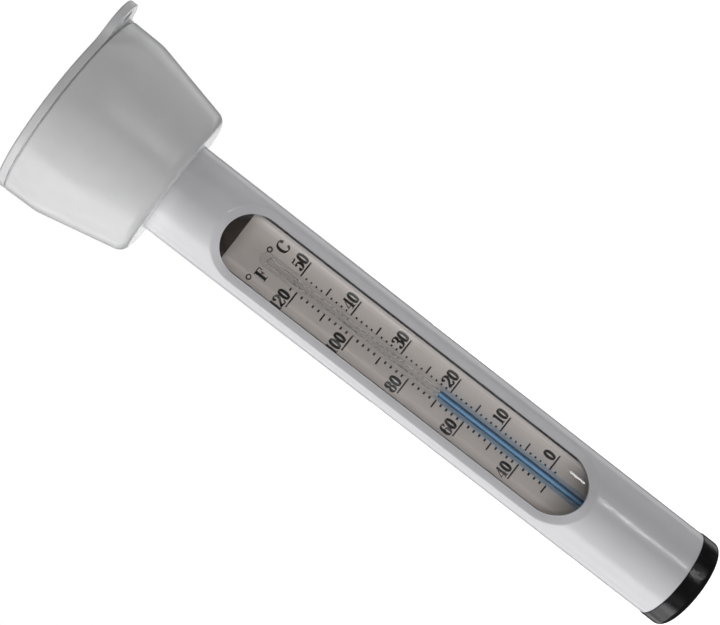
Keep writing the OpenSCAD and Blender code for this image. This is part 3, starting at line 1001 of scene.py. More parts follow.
@dataclass
class WindowCasing:
    """The casing tube, with its long window sunk in a bezel that follows the tube's curve."""

    radius: float = 12.6
    bore: float = 10.6
    foot: float = 5.7
    top: float = 179.0
    stop_foot: float = 157.0
    stop_top: float = 159.0
    stop_bore: float = 9.6
    window_half: float = 8.2
    window_foot: float = 37.1
    window_top: float = 148.7
    bezel_width: float = 2.3
    bezel_reach: float = 3.4
    bezel_side_depth: float = 1.78
    bezel_end_depth: float = 0.95
    bezel_soft: float = 1.7
    lip: float = 0.12
    patch_turn: float = math.radians(68.0)
    patch_reach: float = 14.8
    wall_rows: Tuple[float, ...] = (0.1, 0.5, 0.9)
    end_steps: int = 96
    side_steps: int = 60
    back_steps: int = 72

    def _stations(self) -> Tuple[Array, Array]:
        """Walks once round the window.

        The window's edge is at window_half * (cos a, sin a) from a centre that
        stays at either end for a half turn and slides along each side.

        Returns:
            The angle a and the centre's height at each station.
        """
        half_turn = np.linspace(0.0, math.pi, self.end_steps + 1)
        high, low = self.window_top - self.window_half, self.window_foot + self.window_half
        side = np.linspace(0.0, 1.0, self.side_steps + 1)[1:-1]
        still = np.full(len(side), math.pi)
        angle = [half_turn, still, math.pi + half_turn, 2.0 * still]
        centre = [
            np.full(len(half_turn), high),
            high + (low - high) * side,
            np.full(len(half_turn), low),
            low + (high - low) * side,
        ]
        return np.concatenate(angle), np.concatenate(centre)

    def _patch(self, angle: Array, centre: Array) -> Tuple[Array, Array]:
        """Finds each station's place on the edge of the patch round the window.

        The direction (cos a, sin a) is stretched until it meets a square, and
        the square becomes patch_turn wide and patch_reach high.

        Returns:
            The turn round the tube's axis and the height.
        """
        c, s = np.cos(angle), np.sin(angle)
        longest = np.maximum(np.abs(c), np.abs(s))
        return self.patch_turn * c / longest, centre + self.patch_reach * s / longest

    def _laid(self, angle: Array, centre: Array, offset: Array, radius: Array) -> Array:
        """Lays rows of the window's outline on the tube.

        At offset w the point is x = (window_half + w) cos a,
        z = centre + (window_half + w) sin a, y = -sqrt(radius^2 - x^2).

        Args:
            angle: angle of each station.
            centre: centre height of each station.
            offset: offset w of each row.
            radius: radius of each row, or of each point, from the tube's axis.

        Returns:
            Grid of points, rows by stations.
        """
        out = self.window_half + offset[:, None]
        x = out * np.cos(angle)
        reach = radius if radius.ndim == 2 else radius[:, None]
        return np.stack([x, -np.sqrt(reach**2 - x**2), centre + out * np.sin(angle)], axis=-1)

    def _fan(self, angle: Array, centre: Array, offset: float, radius: float, share: Array) -> Array:
        """Spreads rows on the tube from the outline at an offset to the patch's edge.

        Turn and height are each a straight mix of the two ends, so every
        point stays on the tube.

        Args:
            angle: angle of each station.
            centre: centre height of each station.
            offset: offset of the outline that the rows start from.
            radius: radius of the tube's face.
            share: how far each row is from the outline to the edge, 0 to 1.

        Returns:
            Grid of points, rows by stations.
        """
        out = self.window_half + offset
        turn_in = np.arcsin(out * np.cos(angle) / radius)
        turn_out, high_out = self._patch(angle, centre)
        k = share[:, None]
        turn = turn_in + (turn_out - turn_in) * k
        height = centre + out * np.sin(angle)
        height = height + (high_out - height) * k
        return np.stack([radius * np.sin(turn), -radius * np.cos(turn), height], axis=-1)

    def _front(self, surface: Surface) -> None:
        """Adds the patch round the window: face, bezel, lip, wall and bore, row by row.

        The bezel's section is a straight slope with a soft shoulder. Its
        depth goes from end_depth at the window's ends to side_depth along
        its sides with cos(a) squared, so that the sides face straight
        forwards.
        """
        angle, centre = self._stations()
        section = rounded_profile(
            [
                (self.bezel_reach, 0.0, 0.0),
                (self.bezel_width, 0.0, self.bezel_soft),
                (0.0, 1.0, 0.0),
            ],
            14,
        )
        more = self.bezel_side_depth - self.bezel_end_depth
        depth = self.bezel_end_depth + more * np.cos(angle) ** 2
        slope = np.linspace(0.0, 1.0, 6)[1:-1, None]
        foot = np.array([self.lip, 1.0 - self.lip / self.bezel_width])
        section = np.vstack([section[:-1], section[-2] + (foot - section[-2]) * slope, foot])
        offset = section[:, 0]
        sunk = self.radius - section[:, 1:] * depth
        bezel = self._laid(angle, centre, offset, sunk)
        bend = np.linspace(0.0, math.pi / 2.0, 6)[1:]
        drop = self.lip * (1.0 - np.cos(bend[:, None]))
        lip = self._laid(angle, centre, self.lip * (1.0 - np.sin(bend)), sunk[-1] - drop)
        edge = lip[-1]
        inner = self._laid(angle, centre, np.zeros(1), np.full(1, self.bore))[0]
        wall = edge + (inner - edge) * np.array(self.wall_rows)[:, None, None]
        face = self._fan(angle, centre, self.bezel_reach, self.radius, np.linspace(1.0, 0.0, 13)[:-1])
        bore = self._fan(angle, centre, 0.0, self.bore, np.linspace(0.0, 1.0, 10))
        surface.grid(np.concatenate([face, bezel, lip, wall, bore]))

    def _back(self, surface: Surface) -> None:
        """Adds the plain tube behind the patch, outside and in."""
        angle, centre = self._stations()
        turn, height = self._patch(angle, centre)
        rows = np.unique(np.round(height[turn > self.patch_turn - TINY], 6))
        turns = np.linspace(self.patch_turn, 2.0 * math.pi - self.patch_turn, self.back_steps + 1)
        for radius in (self.radius, self.bore):
            columns = np.stack([radius * np.sin(turns), -radius * np.cos(turns)], axis=-1)
            points = np.concatenate(
                [
                    np.broadcast_to(columns[None], (len(rows), len(turns), 2)),
                    np.broadcast_to(rows[:, None, None], (len(rows), len(turns), 1)),
                ],
                axis=-1,
            )
            surface.grid(points, wrap=False)

    def _end(self, surface: Surface, corners: Sequence[Corner]) -> None:
        """Turns the profile of one end of the tube, on the patch's own columns.

        Args:
            surface: the casing's surface.
            corners: the profile, from the outer face to the bore.
        """
        angle, centre = self._stations()
        turn, height = self._patch(angle, centre)
        front = np.unique(np.round(turn[height > height.max() - TINY], 9))
        back = np.linspace(self.patch_turn, 2.0 * math.pi - self.patch_turn, self.back_steps + 1)[1:-1]
        turns = np.concatenate([front, back])
        profile = rounded_profile(corners, 6)
        r, z = profile[:, :1], profile[:, 1:]
        surface.grid(np.stack([r * np.sin(turns), -r * np.cos(turns), z + 0.0 * turns], axis=-1))

    def tube(self) -> bpy.types.Object:
        """Builds the casing tube.

        Returns:
            The casing.
        """
        low = self.window_foot + self.window_half - self.patch_reach
        high = self.window_top - self.window_half + self.patch_reach
        surface = Surface()
        self._front(surface)
        self._back(surface)
        self._end(
            surface,
            [
                (self.radius, low, 0.0),
                (self.radius, self.foot, 0.22),
                (self.bore + 0.4, self.foot, 0.08),
                (self.bore, self.foot + 0.4, 0.08),
                (self.bore, low, 0.0),
            ],
        )
        self._end(
            surface,
            [
                (self.radius, high, 0.0),
                (self.radius, self.top, 0.3),
                (self.bore, self.top, 0.2),
                (self.bore, self.stop_top, 0.1),
                (self.stop_bore, self.stop_top, 0.15),
                (self.stop_bore, self.stop_foot, 0.15),
                (self.bore, self.stop_foot, 0.1),
                (self.bore, high, 0.0),
            ],
        )
        return surface.build("window_casing", outward=True)

    def build(self) -> None:
        """Builds, dresses and fits the casing."""
        piece = self.tube()
        dress(piece, WHITE_CASING.build())
        fit(piece, Body.CASING, ["casing_tube"])


# ---- Sealed cartridge ------------------------------------------------------


@dataclass
class ClearSleeve:
    """The clear tube that seals the cartridge behind the window, with its two bungs."""

    outer: float = 10.45
    inner: float = 9.45
    foot: float = 17.7
    top: float = 157.0

    def tube(self) -> bpy.types.Object:
        """Builds the sleeve as a closed ring profile, turned once.

        Returns:
            The sleeve.
        """
        corners = [
            (self.outer, 0.5 * (self.foot + self.top), 0.0),
            (self.outer, self.top, 0.15),
            (self.inner, self.top, 0.15),
            (self.inner, self.foot, 0.15),
            (self.outer, self.foot, 0.15),
            (self.outer, 0.5 * (self.foot + self.top), 0.0),
        ]
        surface = Surface()
        surface.grid(lathe(rounded_profile(corners, 5), 256))
        return surface.build("window_sleeve")

    def build(self, frame: Dict[str, Any]) -> None:
        """Builds, dresses and fits the sleeve and dresses the bungs.

        Args:
            frame: the loaded frame.
        """
        piece = self.tube()
        dress(piece, CLEAR_SLEEVE.build())
        fit(piece, Body.CASING, ["clear_sleeve"])
        rubber = BUNG_RUBBER.build()
        dress_node(frame, "top_bung", rubber)
        dress_node(frame, "bottom_bung", rubber)


@dataclass(frozen=True)
class Glyph:
    """One dial figure, drawn in a box one unit high with a pen that is broad on upright strokes."""

    width: float
    strokes: Tuple[Tuple[float, Tuple[Tuple[float, float], ...]], ...] = ()
    bars: Tuple[Tuple[float, float, float, float], ...] = ()
    rings: Tuple[Tuple[float, float, float, float], ...] = ()
    dots: Tuple[Tuple[float, float, float], ...] = ()


GLYPHS: Dict[str, Glyph] = {
    "0": Glyph(0.54, rings=((0.27, 0.5, 0.165, 0.466),)),
    "1": Glyph(
        0.42, bars=((0.14, 0.0, 0.33, 0.985), (0.05, 0.0, 0.42, 0.06)),
        strokes=((0.06, ((0.18, 0.975), (0.12, 0.89), (0.04, 0.85))),),
    ),
    "2": Glyph(
        0.54, dots=((0.125, 0.755, 0.085),),
        strokes=(
            (0.0, ((0.065, 0.77), (0.11, 0.90), (0.26, 0.975), (0.41, 0.88), (0.44, 0.72),
                   (0.37, 0.53), (0.21, 0.32),
                   (0.09, 0.17), (0.045, 0.05))),
            (0.13, ((0.045, 0.07), (0.15, 0.12), (0.31, 0.06), (0.43, 0.08), (0.48, 0.25))),
        ),
    ),
    "3": Glyph(
        0.53, dots=((0.115, 0.79, 0.08), (0.115, 0.20, 0.085)),
        strokes=(
            (0.0, ((0.06, 0.80), (0.12, 0.93), (0.25, 0.975), (0.39, 0.89), (0.41, 0.74),
                   (0.33, 0.58), (0.17, 0.53))),
            (0.0, ((0.17, 0.53), (0.36, 0.49), (0.44, 0.32), (0.40, 0.11), (0.26, 0.024),
                   (0.11, 0.07), (0.055, 0.20))),
        ),
    ),
    "4": Glyph(
        0.55, bars=((0.27, 0.0, 0.46, 1.0), (0.16, 0.0, 0.55, 0.06), (0.01, 0.225, 0.55, 0.29)),
        strokes=((0.06, ((0.37, 0.97), (0.20, 0.64), (0.03, 0.26))),),
    ),
    "5": Glyph(
        0.53, dots=((0.12, 0.19, 0.085),),
        bars=((0.075, 0.50, 0.12, 0.95),),
        strokes=(
            (0.12, ((0.09, 0.91), (0.22, 0.90), (0.34, 0.92), (0.45, 0.97))),
            (0.0, ((0.085, 0.50), (0.16, 0.59), (0.27, 0.62), (0.40, 0.53), (0.445, 0.32),
                   (0.39, 0.11), (0.25, 0.024),
                   (0.11, 0.065), (0.055, 0.19))),
        ),
    ),
    "6": Glyph(
        0.54, dots=((0.40, 0.80, 0.08),),
        strokes=(
            (0.0, ((0.45, 0.82), (0.39, 0.94), (0.27, 0.975), (0.14, 0.84), (0.095, 0.55),
                   (0.10, 0.28), (0.17, 0.08),
                   (0.28, 0.024), (0.40, 0.11), (0.445, 0.31), (0.39, 0.51), (0.28, 0.58),
                   (0.17, 0.53), (0.10, 0.38))),
        ),
    ),
    "8": Glyph(0.54, rings=((0.27, 0.75, 0.135, 0.212), (0.27, 0.275, 0.16, 0.24))),
    "C": Glyph(
        0.76, bars=((0.665, 0.66, 0.71, 0.985),),
        strokes=(
            (0.0, ((0.69, 0.70), (0.60, 0.91), (0.43, 0.975), (0.21, 0.84), (0.125, 0.5),
                   (0.21, 0.16), (0.43, 0.025),
                   (0.60, 0.08), (0.71, 0.27))),
        ),
    ),
    "F": Glyph(
        0.66,
        bars=(
            (0.11, 0.0, 0.33, 1.0), (0.01, 0.93, 0.64, 1.0), (0.575, 0.66, 0.64, 1.0),
            (0.30, 0.48, 0.50, 0.55),
            (0.445, 0.36, 0.51, 0.67), (0.01, 0.0, 0.45, 0.065),
        ),
    ),
}


class Printer:
    """Lays flat ink shapes on the face of the card, in the XZ plane.

    The pen is thin on level strokes and thick on upright ones, as shares of
    the figure's height, and wide stretches each figure sideways.
    """

    thin = 0.078
    thick = 0.215
    wide = 1.06
    dot_core = 0.02

    def __init__(self, face: float) -> None:
        """Starts a print.

        Args:
            face: y of the card's printed face.
        """
        self.face = face
        self.surface = Surface()

    def _lay(self, x: Array, z: Array, wrap: bool = False) -> None:
        """Adds a strip of ink, rows by columns, facing -Y, from its x and z."""
        points = np.stack([x, np.full(x.shape, self.face), z], axis=-1)
        turn = (x[0, 1] - x[0, 0]) * (z[1, 0] - z[0, 0]) - (z[0, 1] - z[0, 0]) * (x[1, 0] - x[0, 0])
        self.surface.grid(points, wrap=wrap, flip=bool(turn < 0.0))

    def bar(self, x0: float, z0: float, x1: float, z1: float) -> None:
        """Prints an upright rectangle between two corners."""
        self._lay(np.array([[x0, x1], [x0, x1]]), np.array([[z0, z0], [z1, z1]]))

    def bars(self, x0: Array, x1: Array, z: Array, thickness: Array) -> None:
        """Prints level lines as one array of rectangles.

        Args:
            x0: one end of each line.
            x1: the other end of each line.
            z: height of each line's middle.
            thickness: thickness of each line.
        """
        left, right = np.minimum(x0, x1), np.maximum(x0, x1)
        low, high = z - 0.5 * thickness, z + 0.5 * thickness
        x = np.stack([left, right, right, left], axis=-1)
        heights = np.stack([low, low, high, high], axis=-1)
        points = np.stack([x, np.full(x.shape, self.face), heights], axis=-1)
        self.surface.add(points, np.arange(4 * len(z)).reshape(-1, 4))

    def ribbon(
        self, curve: Array, width: float, x: float, z: float, size: float, closed: bool = False
    ) -> None:
        """Prints a pen stroke along a curve.

        The stroke's width is thin + (thick - thin) * |upright share of the
        direction| ^ 1.5, or the given width where it is above 0.

        Args:
            curve: the stroke's middle line, in glyph units.
            width: a fixed width, or 0 for the pen's own.
            x: left of the glyph's box.
            z: foot of the glyph's box.
            size: height of the glyph's box.
            closed: whether the stroke closes on itself.
        """
        if closed:
            way = np.roll(curve, -1, axis=0) - np.roll(curve, 1, axis=0)
        else:
            way = np.gradient(curve, axis=0)
        way = way / np.linalg.norm(way, axis=1, keepdims=True)
        pen = self.thin + (self.thick - self.thin) * np.abs(way[:, 1]) ** 1.5
        half = 0.5 * (np.full(len(curve), width) if width > 0.0 else pen)[:, None]
        side = np.column_stack([-way[:, 1], way[:, 0]]) * half
        rows = np.stack([curve - side, curve + side]) * [size * self.wide, size] + [x, z]
        self._lay(rows[..., 0], rows[..., 1], wrap=closed)

    def glyph(self, sign: str, x: float, z: float, size: float) -> None:
        """Prints one figure.

        Args:
            sign: the figure.
            x: left of its box.
            z: its foot.
            size: its height.
        """
        shape = GLYPHS[sign]
        broad = size * self.wide
        for x0, z0, x1, z1 in shape.bars:
            self.bar(x + x0 * broad, z + z0 * size, x + x1 * broad, z + z1 * size)
        for width, knots in shape.strokes:
            self.ribbon(spline(np.array(knots)), width, x, z, size)
        a = np.linspace(0.0, 2.0 * math.pi, 48, endpoint=False)
        circle = np.column_stack([np.cos(a), np.sin(a)])
        for cx, cz, rx, rz in shape.rings:
            self.ribbon(np.array([cx, cz]) + circle * [rx, rz], 0.0, x, z, size, closed=True)
        for cx, cz, r in shape.dots:
            disc = np.stack([self.dot_core * circle, circle]) * r * size + [x + cx * broad, z + cz * size]
            self._lay(disc[..., 0], disc[..., 1], wrap=True)

    def number(self, text: str, right: float, z: float, size: float) -> None:
        """Prints a number that ends at a given x.

        Args:
            text: the figures.
            right: right end of the number.
            z: its foot.
            size: its height.
        """
        broad = size * self.wide
        x = right - sum(GLYPHS[sign].width for sign in text) * broad
        for sign in text:
            self.glyph(sign, x, z, size)
            x += GLYPHS[sign].width * broad

    def ring(self, x: float, z: float, radius: float, width: float) -> None:
        """Prints a small ring, the degree sign."""
        a = np.linspace(0.0, 2.0 * math.pi, 40, endpoint=False)
        circle = np.column_stack([np.cos(a), np.sin(a)]) * radius
        self.ribbon(circle, width, x, z, 1.0, closed=True)

    def build(self, name: str, depth: float) -> bpy.types.Object:
        """Makes the ink's mesh, with a thin body behind its face.

        Args:
            name: name of the piece.
            depth: thickness of the ink.

        Returns:
            The print.
        """
        piece = self.surface.build(name)
        body = piece.modifiers.new("ink_body", "SOLIDIFY")
        body.thickness = depth * MM
        body.offset = -1.0
        return piece


SHORT_WEIGHT, LONG_WEIGHT = 0.52, 0.43
FIGURE_HEIGHT, FIGURE_LIFT, ZERO_INSET = 3.4, 0.62, 0.9
UNIT_FOOT, RING_CENTRE, RING_RADIUS, RING_WEIGHT = 133.0, 136.9, 0.58, 0.36


@dataclass(frozen=True)
class DialScale:
    """One printed scale: where its lines start, how far they reach and what they count."""

    name: str
    unit: str
    start: float
    reach: Tuple[float, float, float]
    degree: float
    zero: float
    low: int
    high: int
    step: int
    medium: int
    long: int
    number_right: float
    unit_left: float
    ring_at: float

    def lines(self) -> Tuple[Array, Array, Array]:
        """Works out every line of the scale.

        A value v lies at zero + degree * v, and it is long, medium or short
        by what it divides by.

        Returns:
            The values, their heights and the rank of each line's length.
        """
        values = np.arange(self.low, self.high + 1, self.step)
        rank = np.where(values % self.medium == 0, Tick.MEDIUM.value, Tick.SHORT.value)
        rank = np.where(values % self.long == 0, Tick.LONG.value, rank)
        return values, self.zero + self.degree * values, rank

    def print_on(self, printer: Printer) -> None:
        """Prints the lines, the numbers and the unit.

        Args:
            printer: the card's printer.
        """
        values, height, rank = self.lines()
        ends = np.array(self.reach)[rank]
        weight = np.where(rank == Tick.SHORT.value, SHORT_WEIGHT, LONG_WEIGHT)
        printer.bars(np.full(len(values), self.start), ends, height, weight)
        for value in values[rank == Tick.LONG.value].tolist():
            right = self.number_right - (ZERO_INSET if value == 0 else 0.0)
            foot = self.zero + self.degree * value + FIGURE_LIFT
            printer.number(str(value), right, foot, FIGURE_HEIGHT)
        printer.glyph(self.unit, self.unit_left, UNIT_FOOT, FIGURE_HEIGHT)
        printer.ring(self.ring_at, RING_CENTRE, RING_RADIUS, RING_WEIGHT)


DEGREE = 1.5994
DEGREE_F = DEGREE / 1.8
ICE_POINT = 46.73
CELSIUS = DialScale(
    "celsius_print", "C", start=1.24, reach=(2.22, 3.90, 6.05), degree=DEGREE, zero=ICE_POINT,
    low=-1, high=50, step=1, medium=5, long=10, number_right=6.5, unit_left=3.3, ring_at=2.2,
)
FAHRENHEIT = DialScale(
    "fahrenheit_print", "F", start=-1.88, reach=(-2.88, -4.30, -6.78), degree=DEGREE_F,
    zero=ICE_POINT - 32.0 * DEGREE_F, low=30, high=122, step=2, medium=10, long=20, number_right=-3.55,
    unit_left=-5.2, ring_at=-6.5,
)


@dataclass
class ThermometerCartridge:
    """The glass stem with its spirit, on the printed card, held by a wire clip."""

    card_face: float = 0.5
    ink: float = 0.02
    axis: Tuple[float, float] = (-0.2, -1.45)
    stem_foot: float = 18.95
    stem_top: float = 137.8
    stem_r: float = 1.9
    bore_r: float = 0.6
    bulb_r: float = 1.3
    bulb_foot: float = 20.25
    bulb_top: float = 26.8
    relief_foot: float = 133.5
    relief_r: float = 0.9
    relief_cone: float = 1.4
    spirit_top: float = 81.214
    thread_foot: float = 26.2
    dip: float = 0.16
    wetting: float = 0.004
    still_foot: float = 0.2
    still_top: float = 0.35

    def prints(self) -> List[bpy.types.Object]:
        """Builds the two printed scales and returns them."""
        pieces = []
        for scale in (FAHRENHEIT, CELSIUS):
            printer = Printer(self.card_face - self.ink)
            scale.print_on(printer)
            pieces.append(printer.build(scale.name, self.ink))
        return pieces

    def stem(self) -> bpy.types.Object:
        """Builds the stem: a round-ended rod round a closed cavity of bulb, bore and relief chamber.

        The rod's profile climbs and the cavity's falls, so both face out of
        the glass.

        Returns:
            The stem.
        """
        r = self.stem_r
        bend = np.linspace(0.0, math.pi / 2.0, 15)
        foot = np.column_stack([r * np.sin(bend), self.stem_foot + r - r * np.cos(bend)])
        top = np.column_stack([r * np.cos(bend), self.stem_top - r + r * np.sin(bend)])
        surface = Surface()
        surface.grid(lathe(np.vstack([foot, top]), 128, self.axis))
        b, q = self.bulb_r, self.relief_r
        neck = self.bulb_top + b - self.bore_r
        relief = self.relief_foot + self.relief_cone
        bulb = np.column_stack([b * np.sin(bend), self.bulb_foot + b - b * np.cos(bend)])
        dome = np.column_stack([q * np.cos(bend), relief + q * np.sin(bend)])
        middle = rounded_profile(
            [
                (b, self.bulb_foot + b, 0.0),
                (b, self.bulb_top, 0.3),
                (self.bore_r, neck, 0.3),
                (self.bore_r, self.relief_foot, 1.5),
                (q, relief, 0.5),
                (q, relief + 0.02, 0.0),
            ],
            6,
        )
        cavity = np.vstack([bulb, middle[1:-1], dome])
        surface.grid(lathe(cavity, 96, self.axis), flip=True, skin=1)
        return surface.build("thermometer_stem")

    def thread(self) -> bpy.types.Object:
        """Builds the thread of spirit with its hollow top, in close rows.

        Returns:
            The thread.
        """
        r = self.bore_r + self.wetting
        heights = np.linspace(self.thread_foot, self.spirit_top, 90)
        side = np.column_stack([np.full(len(heights), r), heights])
        share = np.linspace(1.0, 0.0, 9)[1:]
        hollow = np.column_stack([r * share, self.spirit_top - self.dip * (1.0 - share**2)])
        foot = np.column_stack([r * share[::-1], np.full(len(share), self.thread_foot)])
        surface = Surface()
        surface.grid(lathe(np.vstack([foot, side, hollow]), 64, self.axis))
        return surface.build("spirit_thread")

    def build(self, frame: Dict[str, Any]) -> None:
        """Builds, dresses and fits the cartridge.

        Args:
            frame: the loaded frame.
        """
        dress_node(frame, "scale_card", CARD_STOCK.build())
        ink = SCALE_INK.build()
        for piece in self.prints():
            dress(piece, ink)
            fit(piece, Body.CASING)
        stem = self.stem()
        dress(stem, STEM_GLASS.build(), BORE_WALL.build())
        fit(stem, Body.CASING, ["glass_stem"])
        thread = self.thread()
        spirit = BLUE_SPIRIT.build()
        dress(thread, spirit)
        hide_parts("spirit_column", "spirit_meniscus")
        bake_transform(thread)
        faces = len(thread.data.polygons)
        log.info("%s: %d faces, stretches from casing to spirit_top", thread.name, faces)
        dress_node(frame, "bulb_spirit", spirit)
        dress_node(frame, "stem_clip", WIRE_STEEL.build())


# ---- Foot ------------------------------------------------------------------


@dataclass
class Foot:
    """The push-in end cap with its seal, and the steel slug above it."""

    radius: float = 12.8
    height: float = 5.7
    edge: float = 1.8
    shank_r: float = 10.55
    shank_top: float = 10.9
    core_r: float = 7.5
    floor: float = 2.6
    groove_r: float = 9.05
    groove_low: float = 7.45
    groove_high: float = 9.15

    def cap(self) -> bpy.types.Object:
        """Builds the cap: round-edged foot, grooved shank and hollow core, turned once.

        Returns:
            The cap.
        """
        corners = [
            (0.0, 0.0, 0.0),
            (self.radius, 0.0, self.edge),
            (self.radius, self.height, 0.18),
            (self.shank_r, self.height, 0.1),
            (self.shank_r, self.groove_low, 0.1),
            (self.groove_r, self.groove_low, 0.1),
            (self.groove_r, self.groove_high, 0.1),
            (self.shank_r, self.groove_high, 0.1),
            (self.shank_r, self.shank_top, 0.5),
            (self.core_r, self.shank_top, 0.2),
            (self.core_r, self.floor, 0.4),
            (0.0, self.floor, 0.0),
        ]
        surface = Surface()
        surface.grid(lathe(rounded_profile(corners, 10), 224))
        return surface.build("push_in_cap")

    def build(self, frame: Dict[str, Any]) -> None:
        """Builds, dresses and fits the foot.

        Args:
            frame: the loaded frame.
        """
        piece = self.cap()
        dress(piece, BLACK_CAP.build())
        fit(piece, Body.CAP, ["end_cap"])
        dress_node(frame, "cap_seal", SEAL_RUBBER.build())
        dress_node(frame, "ballast_weight", SLUG_STEEL.build())


# ---- Studio ----------------------------------------------------------------


@dataclass(frozen=True)
class Softbox:
    """A soft rectangular light that faces the thermometer's middle."""

    name: str
    role: Role
    azimuth: float
    power: float
    elevation: float = -6.0
    width: float = 0.35
    height: float = 1.0
    distance: float = 1.1
    only: Optional[Lit] = None

    def build(self, aim: Vector, groups: Dict[Lit, bpy.types.Collection]) -> None:
        """Places the light.

        Args:
            aim: the point that it faces, in metres.
            groups: the pieces of each group that a light can be kept to.
        """
        data = bpy.data.lights.new(self.name, "AREA")
        data.shape = "RECTANGLE"
        data.size, data.size_y = self.width, self.height
        data.energy = self.power
        lamp = bpy.data.objects.new(self.name, data)
        bpy.context.scene.collection.objects.link(lamp)
        turn, rise = math.radians(self.azimuth), math.radians(self.elevation)
        way = Vector((math.sin(turn) * math.cos(rise), -math.cos(turn) * math.cos(rise), math.sin(rise)))
        lamp.location = aim + way * self.distance
        lamp.rotation_mode = "QUATERNION"
        lamp.rotation_quaternion = way.to_track_quat("Z", "Y")
        lamp.visible_camera = False
        lamp.visible_diffuse = self.role is Role.WASH
        lamp.visible_glossy = self.role is Role.SHEEN
        lamp.visible_transmission = self.role is Role.SHEEN
        if self.only:
            lamp.light_linking.receiver_collection = groups[self.only]


SOFTBOXES: Tuple[Softbox, ...] = (
    Softbox("wash_left_front", Role.WASH, -60.0, 5.3),
    Softbox("wash_left", Role.WASH, -90.0, 4.9),
    Softbox("wash_left_back", Role.WASH, -140.0, 2.6),
    Softbox("wash_back", Role.WASH, 180.0, 3.6),
    Softbox("wash_right_back", Role.WASH, 140.0, 1.2),
    Softbox("wash_right", Role.WASH, 100.0, 2.1),
    Softbox("wash_right_front", Role.WASH, 70.0, 0.9),
    Softbox("wash_front", Role.WASH, 20.0, 0.66),
    Softbox("wash_top", Role.WASH, 40.0, 1.7, elevation=45.0, width=0.5, height=0.5),
    Softbox("window_fill", Role.WASH, 4.0, 5.7, width=0.45, only=Lit.CARTRIDGE),
    Softbox("sheen_left_edge", Role.SHEEN, -44.0, 0.35, only=Lit.SKIN),
    Softbox("sheen_left_front", Role.SHEEN, -60.0, 1.2, only=Lit.SKIN),
    Softbox("sheen_left", Role.SHEEN, -76.0, 2.9, only=Lit.SKIN),
    Softbox("sheen_left_side", Role.SHEEN, -93.0, 1.7, only=Lit.SKIN),
    Softbox("sheen_left_far", Role.SHEEN, -112.0, 1.5),
    Softbox("sheen_left_back", Role.SHEEN, -138.0, 1.1),
    Softbox("sheen_back", Role.SHEEN, 178.0, 1.2),
    Softbox("sheen_right_back", Role.SHEEN, 138.0, 0.9),
    Softbox("sheen_right", Role.SHEEN, 100.0, 0.45, only=Lit.SKIN),
    Softbox("sheen_right_front", Role.SHEEN, 45.0, 0.5, only=Lit.SKIN),
    Softbox(
        "strip", Role.SHEEN, 30.0, 0.5, elevation=-18.8, width=0.012, height=0.15, distance=0.9,
        only=Lit.SKIN,
    ),
    Softbox("band_left", Role.SHEEN, -70.0, 0.45, width=0.2, only=Lit.SLEEVE),
    Softbox("band_right", Role.SHEEN, 73.0, 0.9, width=0.4, only=Lit.SLEEVE),
    Softbox("band_right_edge", Role.SHEEN, 88.0, 1.9, width=0.4, only=Lit.SLEEVE),
    Softbox(
        "glint", Role.SHEEN, 49.0, 0.045, elevation=-15.6, width=0.08, height=0.013, distance=0.9,
        only=Lit.SLEEVE,
    ),
)


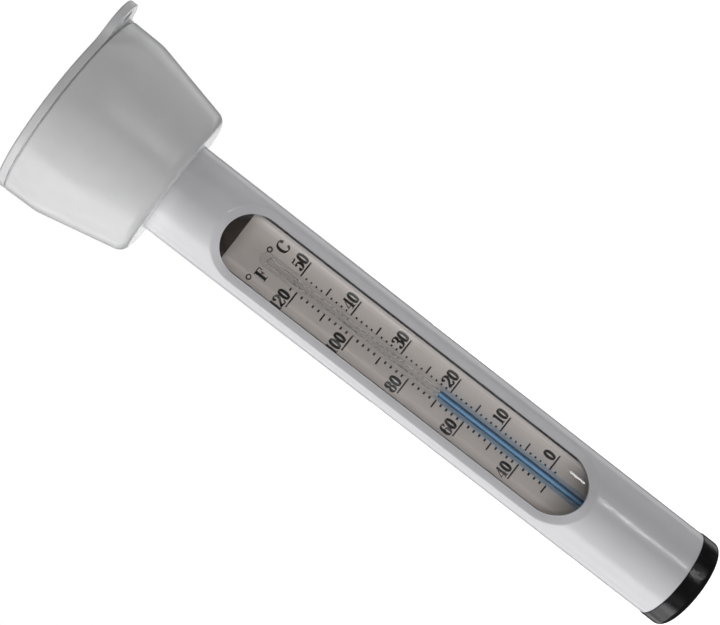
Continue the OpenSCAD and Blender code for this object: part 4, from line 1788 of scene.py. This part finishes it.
@dataclass
class Studio:
    """A white room with a pale floor, soft lights and the camera."""

    aim: float = 100.0
    ambient: float = 0.05
    floor_glow: float = 0.07
    floor_seen_glow: float = 1.05
    floor_drop: float = 15.5
    floor_rows: Tuple[float, ...] = (0.0, 200.0, 600.0, 2500.0)
    sensor: float = 36.0
    nearest: float = 0.01
    lens: float = 92.05
    height: float = 138.93
    distance: float = 462.0
    down: float = 3.6674
    aside: float = 0.4481
    roll: float = 37.87

    def _camera(self) -> None:
        """Places the camera level with the casing's middle, turned a little down and rolled."""
        data = bpy.data.cameras.new("camera")
        data.sensor_width = self.sensor
        data.lens = self.lens
        data.clip_start = self.nearest
        camera = bpy.data.objects.new("camera", data)
        bpy.context.scene.collection.objects.link(camera)
        down, aside, roll = (math.radians(a) for a in (self.down, self.aside, self.roll))
        ahead = Vector(
            (math.sin(aside) * math.cos(down), math.cos(aside) * math.cos(down), -math.sin(down))
        )
        up = (Vector((0.0, 0.0, 1.0)) - ahead * ahead.z).normalized()
        right = ahead.cross(up).normalized()
        image_right = -up * math.cos(roll) + right * math.sin(roll)
        image_up = up * math.sin(roll) + right * math.cos(roll)
        place = Matrix((image_right, image_up, -ahead)).transposed().to_4x4()
        place.translation = Vector((0.0, -self.distance * MM, self.height * MM))
        camera.matrix_world = place
        bpy.context.scene.camera = camera

    def _world(self) -> None:
        """Sets a world that the camera sees as white and that lights softly."""
        world = bpy.data.worlds.new("white_room")
        bpy.context.scene.world = world
        world.use_nodes = True
        sheet = NodeSheet(world.node_tree)
        seen = sheet.fill(world.node_tree.nodes["Background"], {"Color": WHITE, "Strength": 1.0})
        soft = sheet.add("Background", {"Color": (0.97, 0.98, 1.0, 1.0), "Strength": self.ambient})
        sheet.close("World Output", sheet.ray("Is Camera Ray"), soft, seen)

    def _floor(self) -> None:
        """Lays a wide pale floor below the reach of the pulled cap, which only shows from above."""
        disc = np.column_stack([self.floor_rows, np.full(len(self.floor_rows), -self.floor_drop)])
        surface = Surface()
        surface.grid(lathe(disc, 96), flip=True)
        floor = surface.build("floor")
        material, sheet, shader, where = begin_material("pale_floor")
        cloud = sheet.noise(where, 6.0, 2.0, 0.5)
        glow = sheet.spread(sheet.ray("Is Camera Ray"), 0.0, 1.0, self.floor_glow, self.floor_seen_glow)
        look = {
            "Base Color": sheet.blend(cloud, opaque((0.80, 0.80, 0.80)), opaque((0.84, 0.84, 0.84))),
            "Roughness": 0.9,
            "Specular IOR Level": 0.0,
            "Emission Color": WHITE,
            "Emission Strength": glow,
        }
        sheet.fill(shader, look)
        below = sheet.add("NewGeometry").outputs["Backfacing"]
        sheet.close("Material Output", below, shader, sheet.add("BsdfTransparent"))
        dress(floor, material)
        floor.visible_shadow = False
        floor.visible_glossy = False
        floor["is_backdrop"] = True

    def _groups(self, frame: Dict[str, Any]) -> Dict[Lit, bpy.types.Collection]:
        """Gathers the pieces of each group that a light can be kept to."""
        groups = {}
        for group in Lit:
            groups[group] = bpy.data.collections.new("lit_" + group.name.lower())
            for name in group.value:
                piece = frame["nodes"].get(name) or bpy.data.objects[name]
                groups[group].objects.link(piece)
        return groups

    def build(self, frame: Dict[str, Any]) -> None:
        """Builds the studio.

        Args:
            frame: the loaded frame.
        """
        aim = Vector((0.0, 0.0, self.aim * MM))
        groups = self._groups(frame)
        for box in SOFTBOXES:
            box.build(aim, groups)
        self._world()
        self._floor()
        self._camera()
        bpy.context.scene.view_settings.view_transform = "Standard"
        log.info("studio: %d lights, floor and camera", len(SOFTBOXES))


# ---- Sizes -----------------------------------------------------------------


def plain(value: Any) -> Any:
    """Turns vectors and arrays into plain lists of numbers."""
    if isinstance(value, (int, float)):
        return float(value)
    return [plain(part) for part in value]


def write_sizes(frame_box: Any) -> None:
    """Logs the frame's box and the finished model's box.

    Args:
        frame_box: the box straight after the frame was loaded.
    """
    sizes = {"frame": plain(frame_box), "visual": plain(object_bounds())}
    log.info("sizes: %s", sizes)


def main() -> None:
    """Builds the thermometer on its frame, in order, and the studio round it."""
    logging.basicConfig(level=logging.INFO, format="%(name)s %(message)s")
    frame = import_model()
    frame_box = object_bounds()
    FloatHead().build()
    WindowCasing().build()
    ClearSleeve().build(frame)
    ThermometerCartridge().build(frame)
    Foot().build(frame)
    Studio().build(frame)
    write_sizes(frame_box)


if __name__ == "__main__":
    main()
